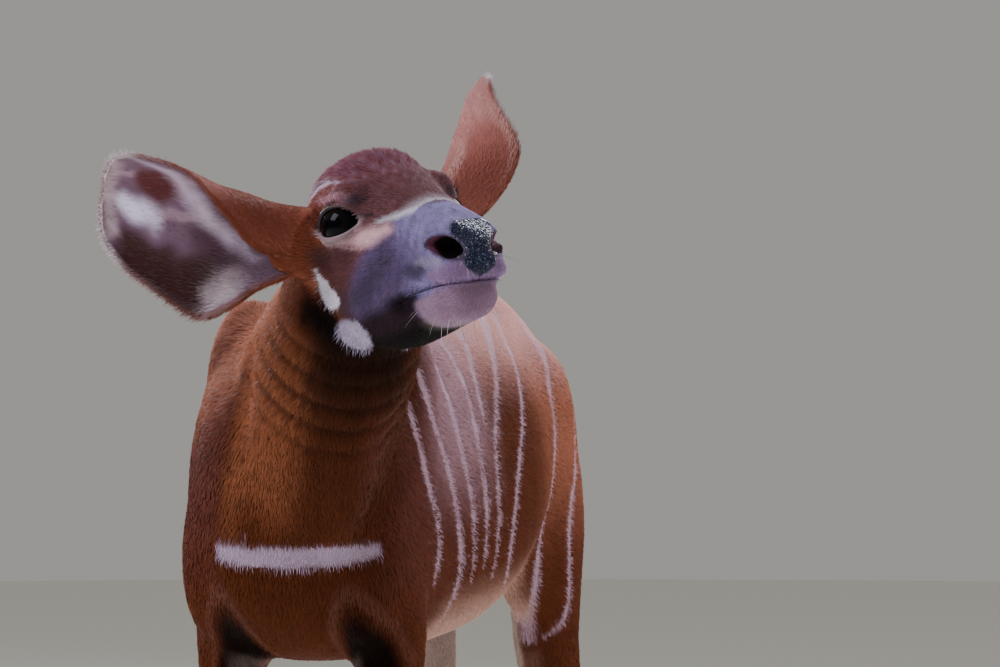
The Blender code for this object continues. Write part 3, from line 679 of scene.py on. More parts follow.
# %% Pushes
def pushed(points, marks):
    """Push points of the head, on both sides: centre, reach and move in millimetres."""
    place = to_head(points)
    move = np.zeros_like(place)
    for centre, reach, shift in marks:
        for side in ((1, -1) if centre[0] else (1,)):
            middle = np.array((centre[0] * side, lengthened(centre[1]), centre[2]))
            away = np.linalg.norm(place - middle, axis=1) / reach
            fade = np.clip(1 - away ** 2, 0, 1) ** 2
            move += fade[:, None] * np.array(shift) * (side, 1, 1)
    turned = (move * MM * (1, -1, 1)) @ np.array(HEAD.to_3x3()).T
    return points + turned


# Each row: centre, reach and move, in millimetres of the head.
PUSHES = (
    ((0, 104, -66), 6, (0, -1.4, 0.6)),
    ((13, 97, -62), 13, (1.4, 2.6, -1.2)),
    ((24, 78, -62), 13, (2.2, 0.6, -0.8)),
    ((28, 84, -32), 12, (1.8, 0.8, 1.6)),
    ((27, 84, -52), 10, (-2.2, -0.6, 0.0)),
    ((14, 97, -27), 10, (0.6, 1.6, 1.8)),
    ((0, 96, -80), 12, (0, 1.6, 0.4)),
    ((22, 74, -76), 12, (1.6, 0.8, 0.0)),
    ((31, 38, -70), 8, (-2.0, 0.0, 0.0)),
    ((0, 90, -22), 12, (0, 0, -1.6)),
    ((32, 40, -22), 24, (-3.0, 0.0, 0.0)),
    ((38, 4, 24), 18, (0.8, 0.0, 1.2)),
    ((27, 34, 2), 16, (-1.2, 0.0, -1.0)),
    ((34, 28, -58), 12, (-1.6, 0, 0)),
    ((36, -4, -60), 22, (1.8, 0, 0)),
    ((0, 66, -96), 16, (0, 0, 1.2)),
    ((0, 30, 36), 22, (0, 0, 1.2)),
)
move_points(head, pushed(points_of(head), PUSHES))
print("pushes:", len(PUSHES))

# %% [markdown]
# ## Lids, nostrils and mouth
# The parted lids, the nostrils and the closed mouth are real openings, cut with
# Booleans from shapes made for the job: an almond pushed through the lids, a comma
# for each nostril, and a thin wedge laid along the muzzle, whose places on the
# surface a ray finds. The remeshed skin is closed, as the cuts need.

# %% Openings of the face
EYE_OPENING = (38.0 * MM, 22.5 * MM)
LID_CUT = (4.0 * MM, 34.0 * MM)
SOCKET_GAP = 0.2 * MM
MOUTH_DEPTH = 5.0 * MM
MOUTH_HALF_HEIGHT = 1.4 * MM


def almond(step, count, grow=0.0):
    """A point of the lids' outline, round the eye's +Z, in metres."""
    angle = math.tau * step / count
    across, height = math.cos(angle), math.sin(angle)
    lift = 1.08 if height > 0 else 0.92
    return ((EYE_OPENING[0] / 2 + grow) * across,
            (EYE_OPENING[1] / 2 + grow) * height * lift * (1 - 0.42 * across ** 4))


def lid_cutter(side):
    """The almond as a prism through the lids."""
    bm = loft([[Vector((*almond(step, 48), out)) for step in range(48)] for out in LID_CUT])
    bm.transform(HEAD @ eye_place(side))
    return as_object("lid_cutter", bm)


# Each row: left, forward, up and radius, in millimetres of the head.
NOSTRIL_STEPS = 20
NOSTRIL_ROWS = [
    (12.5, 102, -52.5, 0.6), (13.5, 102, -51, 4.2), (17.0, 99, -47.5, 7.2), (21.0, 95, -43.5, 7.0),
    (24.5, 91, -41.0, 5.4), (27.5, 86, -39.5, 3.2), (28.8, 81, -39.5, 0.6),
]


def nostril_cutter(side):
    """A comma: wide in front beside the nose pad, curling back to a point."""
    rows = smooth_table(NOSTRIL_ROWS, NOSTRIL_STEPS)
    centres = [head_point(side * row[0], row[1], row[2]) for row in rows]
    outward = Vector((side * 0.55, -0.8, 0.1))
    rings = []
    for number, centre in enumerate(centres):
        ahead = centres[min(number + 1, NOSTRIL_STEPS - 1)] - centres[max(number - 1, 0)]
        across = ahead.cross(outward).normalized()
        radius = rows[number][3] * MM
        rings.append(section(centre, across, across.cross(ahead).normalized(),
                             (radius, radius * 1.5), count=24))
    bm = loft(rings)
    bm.transform(HEAD)
    return as_object("nostril_cutter", bm)


NOSE_PAD_RISE = 0.9 * MM
NOSE_PAD_BACK = 86
PAD_HEIGHTS = (-69, -67, -63, -57, -47, -38, -31, -27, -25)
PAD_HALF_WIDTHS = (-3, 5, 11, 13.5, 11, 16, 16.5, 11, -3)


def on_nose_pad(place):
    """1 on the bare wet skin between the nostrils, in millimetres of the head."""
    half = np.interp(place[:, 2], PAD_HEIGHTS, PAD_HALF_WIDTHS)
    return within(np.abs(place[:, 0]) - half, 0.9) * (place[:, 1] > lengthened(NOSE_PAD_BACK))


MOUTH_STEPS = 49
MOUTH_ROWS = [(-32, 36, -69), (-30, 52, -66.5), (-24, 74, -67), (-14, 95, -70),
              (0, 102, -69.5), (14, 95, -70), (24, 74, -67), (30, 52, -66.5), (32, 36, -69)]


def mouth_path(surface):
    """Points of the closed lips on the skin, with the way out at each."""
    path = []
    for left, forward, up in smooth_table(MOUTH_ROWS, MOUTH_STEPS):
        middle = HEAD @ head_point(0, min(forward, 76), up)
        outward = (HEAD @ head_point(left, forward, up) - middle).normalized()
        path.append((surface.ray_cast(middle, outward)[0], outward))
    return path


def surface_of(item):
    """A mesh made ready for rays."""
    bm = bmesh.new()
    bm.from_mesh(item.data)
    tree = BVHTree.FromBMesh(bm)
    bm.free()
    return tree


MOUTH = mouth_path(surface_of(head))
half_height = HEAD.to_3x3() @ Vector((0, 0, MOUTH_HALF_HEIGHT * 2))
wedge = loft([
    [lips - out * MOUTH_DEPTH, lips + out * MOUTH_DEPTH - half_height,
     lips + out * MOUTH_DEPTH + half_height]
    for lips, out in MOUTH
])
cut_out(head, as_object("mouth_cutter", wedge))
raised = points_of(head)
pad_rise = on_nose_pad(to_head(raised)) * NOSE_PAD_RISE
move_points(head, raised + normals_of(head) * pad_rise[:, None])
FACE_UNCUT = surface_of(head)
for side in (1, -1):
    cut_out(head, lid_cutter(side))
    cut_out(head, nostril_cutter(side))
    socket = ball(HEAD @ eye_place(side), (EYE_RADIUS + SOCKET_GAP,) * 3, HEAD_SEGMENTS)
    cut_out(head, as_object("socket", socket))
print("points of the mouth:", len(MOUTH))

# %% [markdown]
# ## Joining head and body
# Both skins run through the middle of the neck. Each is cut by the same plane, the
# parts past it are dropped, and the two open rims are bridged into one skin. The
# band beside the seam is then smoothed, so that no step shows.

# %% One skin
SEAM = -34.0 * MM
SEAM_BAND = 14 * MM
SEAM_SOFTENING = 14
seam_direction = HEAD.to_3x3() @ Vector((0, -NECK_DIRECTION[1], NECK_DIRECTION[2]))
seam_direction.normalize()
seam_point = HEAD @ head_point(*NECK_PLANE) + seam_direction * SEAM


def cut_at_seam(item, keep_head):
    """The part of a skin on one side of the seam, with an open rim."""
    bm = bmesh.new()
    bm.from_mesh(item.data)
    bmesh.ops.bisect_plane(
        bm, geom=list(bm.verts) + list(bm.edges) + list(bm.faces), dist=1e-6,
        plane_co=seam_point, plane_no=seam_direction,
        clear_inner=keep_head, clear_outer=not keep_head)
    removed(item)
    return bm


def largest_shell(bm):
    """Delete everything but the largest connected part."""
    left = set(bm.verts)
    largest = []
    while left:
        shell = [left.pop()]
        for vertex in shell:
            for edge in vertex.link_edges:
                other = edge.other_vert(vertex)
                if other in left:
                    left.remove(other)
                    shell.append(other)
        largest = max(largest, shell, key=len)
    keep = set(largest)
    bmesh.ops.delete(bm, geom=[v for v in bm.verts if v not in keep], context="VERTS")


halves = [cut_at_seam(body, False), cut_at_seam(head, True)]
for half in halves:
    largest_shell(half)
joined = gathered(halves)
rims = [edge for edge in joined.edges if edge.is_boundary]
bmesh.ops.bridge_loops(joined, edges=rims)
band = [vertex for vertex in joined.verts
        if abs((vertex.co - seam_point).dot(seam_direction)) < SEAM_BAND]
for _ in range(SEAM_SOFTENING):
    bmesh.ops.smooth_vert(joined, verts=band, factor=0.5, use_axis_x=True, use_axis_y=True,
                          use_axis_z=True)
bmesh.ops.triangulate(joined, faces=joined.faces)
bmesh.ops.recalc_face_normals(joined, faces=joined.faces)
skin = in_fixed_order(as_object("skin", joined))
print("skin:", len(skin.data.polygons), "triangles,", len(rims), "rim edges bridged")

# %% [markdown]
# ## The folds beside the brisket and round the throat
# The neck of a calf that lifts its head runs down into the chest as one column, and
# a fold on each side sets it off from the shoulders. Each fold is a line in space;
# points near it sink, most on the line itself. Where the throat bends, the skin
# wrinkles in rings, which a wave along the neck presses in.

# %% Folds
# Each row: points across, along and up in millimetres of the calf, and the depth.
FOLDS = (
    ([(-42, -278, 490), (-39, -289, 545), (-34, -290, 590), (-14, -295, 635), (8, -300, 662)], 6.0),
    ([(84, -246, 490), (85, -258, 530), (96, -278, 575), (116, -305, 615), (136, -330, 648)], 7.0),
)
FOLD_REACH = 21.0
FOLD_STEPS = 40
FOLD_END_STEPS = 8


def folded(points, normals, line, depth):
    """Sink points near a line, in millimetres of the calf's own axes."""
    place = to_calf(points) / MM
    path = np.array(smooth_table(line, FOLD_STEPS))
    away = np.full(len(points), 1e9)
    ends = np.zeros(len(points))
    for step, spot in enumerate(path):
        distance = np.linalg.norm(place - spot, axis=1)
        from_end = min(step, FOLD_STEPS - 1 - step) / FOLD_END_STEPS
        ends = np.where(distance < away, from_end, ends)
        away = np.minimum(away, distance)
    sink = depth * np.exp(-(away / FOLD_REACH) ** 2) * np.clip(ends, 0.15, 1)
    return points - normals * (sink * MM)[:, None]


THROAT_SIDE = (HEAD.to_3x3() @ Vector((-0.30, -0.62, -0.72))).normalized()
RING_SPACING = 19.0
RING_DEPTH = 2.0 * MM
RINGS_MIDDLE, RINGS_REACH = 82, 46


def throat_rings(points, normals):
    """The wrinkles round the bent throat: 1 in the bottom of each, 0 between."""
    down_neck = -beyond_neck(points)
    place = to_head(points)
    phase = (down_neck * math.tau / RING_SPACING + 1.1 * np.sin(place[:, 0] / 21)
             + 0.9 * np.sin(down_neck / 27))
    on_throat = within(np.abs(down_neck - RINGS_MIDDLE) - RINGS_REACH, 18)
    rings = smooth_step(np.sin(phase), 0.05, 0.95) * on_throat
    return rings * smooth_step(normals @ np.array(THROAT_SIDE), -0.30, 0.35)


for line, depth in FOLDS:
    move_points(skin, folded(points_of(skin), normals_of(skin), line, depth))
sunk = throat_rings(points_of(skin), normals_of(skin)) * RING_DEPTH
move_points(skin, points_of(skin) - normals_of(skin) * sunk[:, None])
print("folds:", len(FOLDS), "and rings", RING_SPACING, "mm apart")

# %% [markdown]
# ## Eyes
# A calf's eye is large, almost black and wet. The ball is a sphere with its pole on
# the line of sight, pushed out a little in front for the cornea. The dark brown
# iris and the long level pupil are a colour on its points, and a clear coat over
# all of it gives the sharp lights. A soft rim of lid, a tube laid round the almond,
# hides the cut edge of the skin, dark above and flesh grey below.

# %% Eyes and lid rims
def paint(red, green, blue):
    """A colour as the eye names it, 0 to 255, made linear."""
    return np.array([
        (value / 255 / 12.92 if value <= 10 else ((value / 255 + 0.055) / 1.055) ** 2.4)
        for value in (red, green, blue)])


def covered(count, colour):
    """One colour for each of a number of points."""
    return np.tile(colour, (count, 1))


def laid(under, mask, over):
    """Colours or numbers laid over others, by a mask from 0 to 1."""
    mask = mask[:, None] if under.ndim == 2 else mask
    return under + mask * (np.asarray(over) - under)


def colour_points(item, colours):
    """Store one colour for each point, for the materials to read."""
    layer = item.data.color_attributes.new("coat", "FLOAT_COLOR", "POINT")
    filled = np.ones((len(item.data.vertices), 4))
    filled[:, :3] = colours
    layer.data.foreach_set("color", filled.ravel())


def coloured_material(name, roughness, **sockets):
    """A material whose colour is the one stored on the points."""
    made = simple_material(name, (0.5, 0.5, 0.5), roughness)
    nodes, links = made.node_tree.nodes, made.node_tree.links
    stored = nodes.new("ShaderNodeAttribute")
    stored.attribute_name = "coat"
    shader = nodes["Principled BSDF"]
    links.new(stored.outputs["Color"], shader.inputs["Base Color"])
    for socket, value in sockets.items():
        shader.inputs[socket.replace("_", " ")].default_value = value
    return made


def dress(item, material):
    """Finish a piece: its material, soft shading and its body."""
    item.data.materials.clear()
    item.data.materials.append(material)
    item.data.shade_smooth()
    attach(item, "root")


EYE_GLOSS = coloured_material("wet_eye", 0.06, Coat_Weight=0.04, Coat_Roughness=0.02,
                             Specular_IOR_Level=0.05, Specular_Tint=(0.70, 0.80, 1.0, 1))
LID_SKIN = coloured_material("lid_margin", 0.40, Specular_IOR_Level=0.25)
EYE_SEGMENTS = 72
CORNEA_RISE = 0.7 * MM
CORNEA_REACH = 12 * MM
PUPIL = (8.0, 4.2)
IRIS_REACH = 13.0
LID_STEPS = 72
RIM_SEGMENTS = 14


def eyeball(side):
    """One eye, with its iris and pupil painted on its points."""
    bm = ball(Matrix.Identity(4), (EYE_RADIUS,) * 3, EYE_SEGMENTS)
    for vertex in bm.verts:
        off_axis = math.hypot(vertex.co.x, vertex.co.y) / CORNEA_REACH
        if vertex.co.z > 0 and off_axis < 1:
            vertex.co += vertex.co.normalized() * CORNEA_RISE * (1 - off_axis ** 2) ** 2
    item = in_fixed_order(as_object(sided("eye", side) + "_ball", bm))
    place = points_of(item) / MM
    item.data.transform(HEAD @ eye_place(side))
    in_pupil = np.hypot(place[:, 0] / PUPIL[0], place[:, 1] / PUPIL[1])
    in_iris = np.hypot(place[:, 0], place[:, 1]) / IRIS_REACH
    ring = smooth_step(in_pupil, 0.85, 1.1) * (1 - smooth_step(in_iris, 0.80, 1.05))
    colour_points(item, laid(covered(len(place), paint(3, 3, 5)), ring, paint(12, 8, 8)))
    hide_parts(sided("eye", side))
    dress(item, EYE_GLOSS)


def lid_rim(side):
    """The margin of both lids as one closed tube on the eyeball."""
    centres = []
    for step in range(LID_STEPS):
        across, height = almond(step, LID_STEPS, 0.5 * MM)
        out = math.sqrt(max((EYE_RADIUS + 0.9 * MM) ** 2 - across ** 2 - height ** 2, 0))
        centres.append(Vector((across, height, out)))
    rings, colours = [], []
    for number, centre in enumerate(centres):
        along = (centres[(number + 1) % LID_STEPS] - centres[number - 1]).normalized()
        outward = centre.normalized()
        beside = along.cross(outward).normalized()
        upper = centre.y > 0
        size = (1.7 * MM, 1.5 * MM) if upper else (2.0 * MM, 1.4 * MM)
        rings.append(section(centre, beside, outward, size, count=RIM_SEGMENTS))
        shade = paint(28, 20, 24) if upper else paint(122, 100, 108)
        colours += [shade] * RIM_SEGMENTS
    bm = loft(rings, closed=True)
    bm.transform(HEAD @ eye_place(side))
    item = as_object(sided("lid_rim", side), bm)
    colour_points(item, np.array(colours))
    dress(item, LID_SKIN)


for side in (1, -1):
    eyeball(side)
    lid_rim(side)
print("eyes and lid rims: 2 of each")

# %% [markdown]
# ## Ears
# An ear is one thin leaf, rolled to a tube at its root and opening to a wide cup.
# A grid is the right start: one way runs from root to tip, the other from margin
# to margin, and each row is bent round an arc. Near the root the leaf is also
# turned, so that its upper margin folds over the hollow. Low ridges run along the
# inside, and Solidify gives the leaf its thickness.

# %% Ears
EAR_LENGTH = 150.0 * MM
EAR_THICKNESS = 2.2 * MM
EAR_ROWS = 60
EAR_COLUMNS = 48
EAR_SAG = 12 * MM
RIDGE_HEIGHT = 0.9 * MM
RIDGE_WAVES = 11
# Each row: place along the ear, half width in millimetres, half the roll in degrees, depth of
# the cup, breadth of the lower and of the upper half, and turn of the upper margin in degrees.
EAR_SHAPE = [
    (-0.08, 22.8, 166, 0.72, 1.00, 1.10, 30), (0.14, 28.2, 142, 0.80, 1.06, 1.26, 30),
    (0.28, 35.8, 114, 0.92, 1.26, 1.30, 26), (0.42, 45.5, 88, 1.0, 1.34, 1.18, 18),
    (0.56, 52.0, 66, 1.0, 1.10, 1.07, 8), (0.70, 52.0, 53, 1.0, 0.92, 1.04, 2),
    (0.82, 48.8, 46, 1.0, 0.85, 1.03, 0), (0.91, 41.2, 42, 1.0, 0.83, 1.03, 0),
    (0.97, 29.3, 40, 1.0, 0.85, 1.02, 0), (1.00, 9.8, 38, 1.0, 0.90, 1.00, 0),
]


def ear_leaf(side):
    """The leaf as an open grid, with its own coordinates kept on its points."""
    root, axis, opening = ear_axes(side)
    across = opening.cross(axis) * side
    upper = 1 if across.z > 0 else -1
    shape = smooth_table(EAR_SHAPE, EAR_ROWS)
    bm = bmesh.new()
    along_layer = bm.verts.layers.float.new("along")
    across_layer = bm.verts.layers.float.new("across")
    made = bmesh.ops.create_grid(bm, x_segments=EAR_COLUMNS, y_segments=EAR_ROWS - 1, size=1.0)
    for vertex in made["verts"]:
        t, s = vertex.co.x, (vertex.co.y + 1) / 2
        place, width, roll, cup, lobe, rise, twist = shape[min(round(s * (EAR_ROWS - 1)),
                                                               EAR_ROWS - 1)]
        roll = math.radians(roll)
        radius = width * MM / math.sin(min(roll, math.pi / 2))
        ridges = RIDGE_HEIGHT * math.cos(t * RIDGE_WAVES)
        ridges *= math.sin(math.pi * min(max(place, 0), 1)) ** 0.7
        angle = t * roll + upper * math.radians(twist)
        reach = radius - ridges * (1 - t * t)
        sag = -EAR_SAG * 4 * place * (1 - place)
        below = 1.0 + (lobe - 1.0) * max(-t * upper, 0) ** 0.5
        above = 1.0 + (rise - 1.0) * max(t * upper, 0) ** 0.5
        vertex[along_layer] = place
        vertex[across_layer] = t * upper
        vertex.co = (root + axis * place * EAR_LENGTH + Vector((0, 0, sag))
                     + across * reach * below * above * math.sin(angle)
                     + opening * cup * (radius - reach * math.cos(angle)))
    bm.transform(HEAD)
    return bm


def float_attribute(item, name):
    """A number stored on each point, as an array."""
    values = np.empty(len(item.data.vertices))
    item.data.attributes[name].data.foreach_get("value", values)
    return values


def ear(side):
    """A leaf with thickness; says which points lie inside the cup."""
    item = as_object(sided("ear", side) + "_leaf", ear_leaf(side))
    sheet = normals_of(item)
    item.data.attributes.new("sheet_normal", "FLOAT_VECTOR", "POINT").data.foreach_set(
        "vector", sheet.ravel())
    thicken = item.modifiers.new("thickness", "SOLIDIFY")
    thicken.thickness = EAR_THICKNESS
    thicken.offset = 0.0
    applied(item)
    stored = np.empty(len(item.data.vertices) * 3)
    item.data.attributes["sheet_normal"].data.foreach_get("vector", stored)
    stored = stored.reshape(-1, 3)
    facing = np.sum(stored * normals_of(item), axis=1)
    opening = HEAD.to_3x3() @ ear_axes(side)[2]
    middle = np.abs(float_attribute(item, "across")) < 0.1
    tip = middle & (float_attribute(item, "along") > 0.6) & (facing > 0)
    towards_cup = np.mean(stored[tip], axis=0) @ np.array(opening)
    inside = facing * np.sign(towards_cup) > 0
    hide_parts(sided("ear", side))
    return item, inside


EARS = {side: ear(side) for side in (1, -1)}
print("ear points:", [len(item.data.vertices) for item, _ in EARS.values()])

# %% [markdown]
# ## Marks as strokes and patches
# Every marking is a distance: how far a point lies from a stroke's middle line or a
# patch's centre. Where that distance is less than the mark's half width, the mark
# is laid over the colour under it. The same functions colour the skin and every
# hair that stands on it, so the pattern runs through the coat without a seam.

# %% Strokes and patches
LIDS_MEAN_RADIUS = 12.0


def stroke(across, up, path, widths):
    """Distance from a path in a plane, less its half width there."""
    best = np.full(len(across), 1e9)
    for (first, second), (wide, next_wide) in zip(zip(path, path[1:]), zip(widths, widths[1:])):
        run = second[0] - first[0], second[1] - first[1]
        length = run[0] ** 2 + run[1] ** 2
        t = np.clip(((across - first[0]) * run[0] + (up - first[1]) * run[1]) / length, 0, 1)
        away = np.hypot(across - first[0] - t * run[0], up - first[1] - t * run[1])
        best = np.minimum(best, away - wide - t * (next_wide - wide))
    return best


def patch(across, up, centre, radii):
    """Distance outside an oval, roughly in the unit of its radii."""
    ratio = np.hypot((across - centre[0]) / radii[0], (up - centre[1]) / radii[1])
    return (ratio - 1) * min(radii)


def eye_plane(points, side):
    """Places in an eye's own axes, in millimetres: across, up, outwards."""
    inverse = np.array((HEAD @ eye_place(side)).inverted())
    return (np.hstack([points, np.ones((len(points), 1))]) @ inverse.T)[:, :3] / MM


def from_lids(points):
    """How far points lie outside the lids' opening, in millimetres."""
    best = np.full(len(points), 1e9)
    for side in (1, -1):
        place = eye_plane(points, side)
        across = np.clip(place[:, 0] / (EYE_OPENING[0] / 2 / MM), -1.6, 1.6)
        height = EYE_OPENING[1] / 2 / MM * (1 - 0.42 * np.minimum(np.abs(across), 1) ** 4)
        ratio = np.hypot(across, place[:, 1] / height)
        away = np.where(place[:, 2] > 4, (ratio - 1) * LIDS_MEAN_RADIUS, 1e9)
        best = np.where(np.abs(away) < np.abs(best), away, best)
    return best


NOSTRIL_LINE = np.array(smooth_table(NOSTRIL_ROWS, NOSTRIL_STEPS))
NOSTRIL_LINE[:, 1] = lengthened(NOSTRIL_LINE[:, 1])
MOUTH_LINE = np.array([lips[:] for lips, _ in MOUTH])


def from_nostril(place):
    """How far places of the head lie outside the nostrils, in millimetres."""
    on_one_side = np.hstack((np.abs(place[:, :1]), place[:, 1:]))
    away = np.linalg.norm(on_one_side[:, None, :] - NOSTRIL_LINE[None, :, :3], axis=2)
    return np.min(away - NOSTRIL_LINE[None, :, 3], axis=1)


def from_mouth(points):
    """Distance from the line of the closed lips, in millimetres."""
    best = np.full(len(points), 1e9)
    for lips in MOUTH_LINE:
        best = np.minimum(best, np.linalg.norm(points - lips, axis=1) / MM)
    return best


print("mark tools ready; nostril line", len(NOSTRIL_LINE), "points")

# %% [markdown]
# ## The calf's colours
# Bongo calves are chestnut, lighter on the rump and almost black on the fronts of the
# legs, with thin pale stripes down the flanks, a white crescent on the chest, and
# white marks on the cheeks and between the eyes. The muzzle is slate with pale lips.
# Painted light is laid in too: a painted sheen along the back, on the front of the
# flank and on top of the neck, painted light and shade on the sides of the neck,
# painted shade on the throat, under the jaw, in the throat's wrinkles, at the mouth
# and inside the nostrils, painted highlights under the eyes and the nostrils, and a
# painted blue reflection on the nose pad. A little noise moves each edge, because no
# mark on an animal is ruled with a pen.

# %% Colours of the head
def wobble(points, scale, seed):
    """Soft noise from -1 to 1, made of a few crossing waves."""
    random = np.random.default_rng(seed)
    total = np.zeros(len(points))
    for _ in range(5):
        direction = random.normal(size=3)
        direction *= random.uniform(0.6, 1.6) * math.tau / scale / np.linalg.norm(direction)
        total += np.sin(points @ direction + random.uniform(0, math.tau))
    return total / 5


def wavering(points):
    """Places of the head in millimetres, moved a little so that no mark has a ruled edge."""
    return to_head(points) + 0.9 * wobble(points, 0.012, 3)[:, None]


def three_quarter(place):
    """Places of the head as seen from the front and one side: across, up."""
    beside = np.abs(place[:, 0])
    return (0.429 * place[:, 1] - 0.894 * beside - 0.179 * place[:, 2],
            0.208 * place[:, 1] - 0.100 * beside + 0.973 * place[:, 2])


def towards_view(normals, place):
    """1 where the skin faces that view, 0 where it turns away to the back of the head."""
    turned = normals @ np.array(HEAD.to_3x3())
    facing = (0.455 * turned[:, 0] * np.sign(place[:, 0]) - 0.888 * turned[:, 1]
              - 0.143 * turned[:, 2])
    return smooth_step(facing, -0.05, 0.20)


def cheek_colours(place, colour):
    """The soft changes of colour on the sides of the face."""
    across, up = three_quarter(place)
    beside = np.abs(place[:, 0])
    flank = beside > 12
    crown = smooth_step(place[:, 2], 18, 46)
    colour = laid(colour, crown * 0.88, paint(122, 76, 94))
    strands = wobble(place * MM * (1.0, 0.35, 1.0), 0.007, 28) * smooth_step(place[:, 2], 4, 26)
    colour = laid(colour, smooth_step(strands, 0.10, 0.50) * 0.55, paint(104, 50, 44))
    colour = laid(colour, smooth_step(-strands, 0.05, 0.60) * 0.20, paint(156, 122, 144))
    temple = within(patch(across, up, (-62, 4), (14, 22)), 9) * flank
    colour = laid(colour, temple * 0.6, paint(104, 52, 40))
    brown = within(patch(across, up, (-54, -29), (10, 8)), 6) * flank
    colour = laid(colour, brown * 0.85, paint(86, 56, 56))
    cheek = within(patch(across, up, (-43, -42), (13, 26)), 9) * flank
    colour = laid(colour, cheek * 0.85, paint(80, 52, 56))
    low_cheek = within(patch(across, up, (-38, -66), (11, 13)), 8) * flank
    colour = laid(colour, low_cheek * 0.85, paint(64, 46, 54))
    slate_edge = np.interp(up, (-100, -76, -58, -44, -30, -16, -4, 2),
                           (-26, -32, -34, -33, -27, -16, -4, 12))
    slate = smooth_step(across - slate_edge, -5, 7) * (1 - smooth_step(up, -2, 6))
    on_bridge = smooth_step(place[:, 1], 42, 54) * (1 - smooth_step(beside, 24, 32))
    chevron_height = np.interp(across, (-14, -2, 12, 23, 34, 41), (-4, -1, 4, 8, 8, 1))
    on_bridge *= 1 - smooth_step(up - chevron_height, -1, 2)
    slate = np.maximum(slate * flank, on_bridge)
    colour = laid(colour, slate * 0.95, paint(90, 76, 114))
    colour = laid(colour, on_bridge * 0.85, paint(148, 138, 188))
    warm = smooth_step(wobble(place * MM, 0.014, 27), 0.0, 0.5) * slate
    colour = laid(colour, warm * 0.28, paint(96, 72, 84))
    flecks = smooth_step(wobble(place * MM * (1.0, 1.0, 0.5), 0.006, 35), 0.05, 0.55) * slate
    colour = laid(colour, flecks * 0.30, paint(62, 50, 68))
    dark_cheek = within(stroke(across, up, [(-28, -58), (-18, -44), (-4, -28)], (8, 7, 3)), 8)
    colour = laid(colour, dark_cheek * flank * 0.75, paint(62, 52, 70))
    # Painted highlight: a pale band under the eye, where light falls on the fur.
    highlight_under_eye = within(stroke(across, up, [(-42, -19), (-31, -17), (-20, -15), (-6, -9)],
                              (0.5, 5, 6.5, 3)), 5)
    colour = laid(colour, highlight_under_eye * flank * 0.9, paint(240, 192, 202))
    wrinkle = within(stroke(across, up, [(20, -30), (8, -42), (4, -52)], (1.5, 2.5, 1.5)), 2)
    colour = laid(colour, wrinkle * flank * 0.12, paint(176, 166, 192))
    blotch = within(patch(across, up, (13, -39), (9, 6)), 4) * flank
    return laid(colour, blotch * 0.8, paint(60, 50, 74))


def jaw_colours(place, colour):
    """Pale lips and chin; painted shade under the jaw and at the mouth's corners, and a painted
    highlight under each nostril.
    """
    across, up = three_quarter(place)
    left, forward, height = place.T
    beside = np.abs(left)
    # Painted shade under the back of the jaw, nearly black where it is deepest.
    shade = smooth_step(-height, 60, 73) * (1 - smooth_step(forward, 50, 64))
    colour = laid(colour, shade * 0.93, paint(34, 18, 19))
    shade_on_floor_of_jaw = smooth_step(-height, 80, 90) * (1 - smooth_step(forward, 50, 64))
    colour = laid(colour, shade_on_floor_of_jaw * 0.97, paint(6, 4, 4))
    # Painted shadow at the corner of the mouth, under the upper lip.
    corner = within(patch(across, up, (6, -62), (13, 7)), 4) * (beside > 14)
    colour = laid(colour, corner * 0.85, paint(24, 16, 22))
    upper_lip = smooth_step(-height, 53, 59) * smooth_step(forward, 70, 84)
    colour = laid(colour, upper_lip * 0.85, paint(144, 114, 154))
    lower_lip = smooth_step(-height, 70, 74) * smooth_step(forward, 50, 62)
    colour = laid(colour, lower_lip * 0.85, paint(150, 120, 142))
    chin = within(patch(forward, height, (58, -91), (12, 6)), 4) * (beside < 22)
    colour = laid(colour, chin * 0.1, paint(196, 180, 168))
    # Painted highlight: a pale lilac spot under the nostril.
    highlight_under_nostril = within(patch(across, up, (24, -34), (9, 3.4)), 2) * (beside > 10)
    return laid(colour, highlight_under_nostril * 0.4, paint(186, 174, 202))


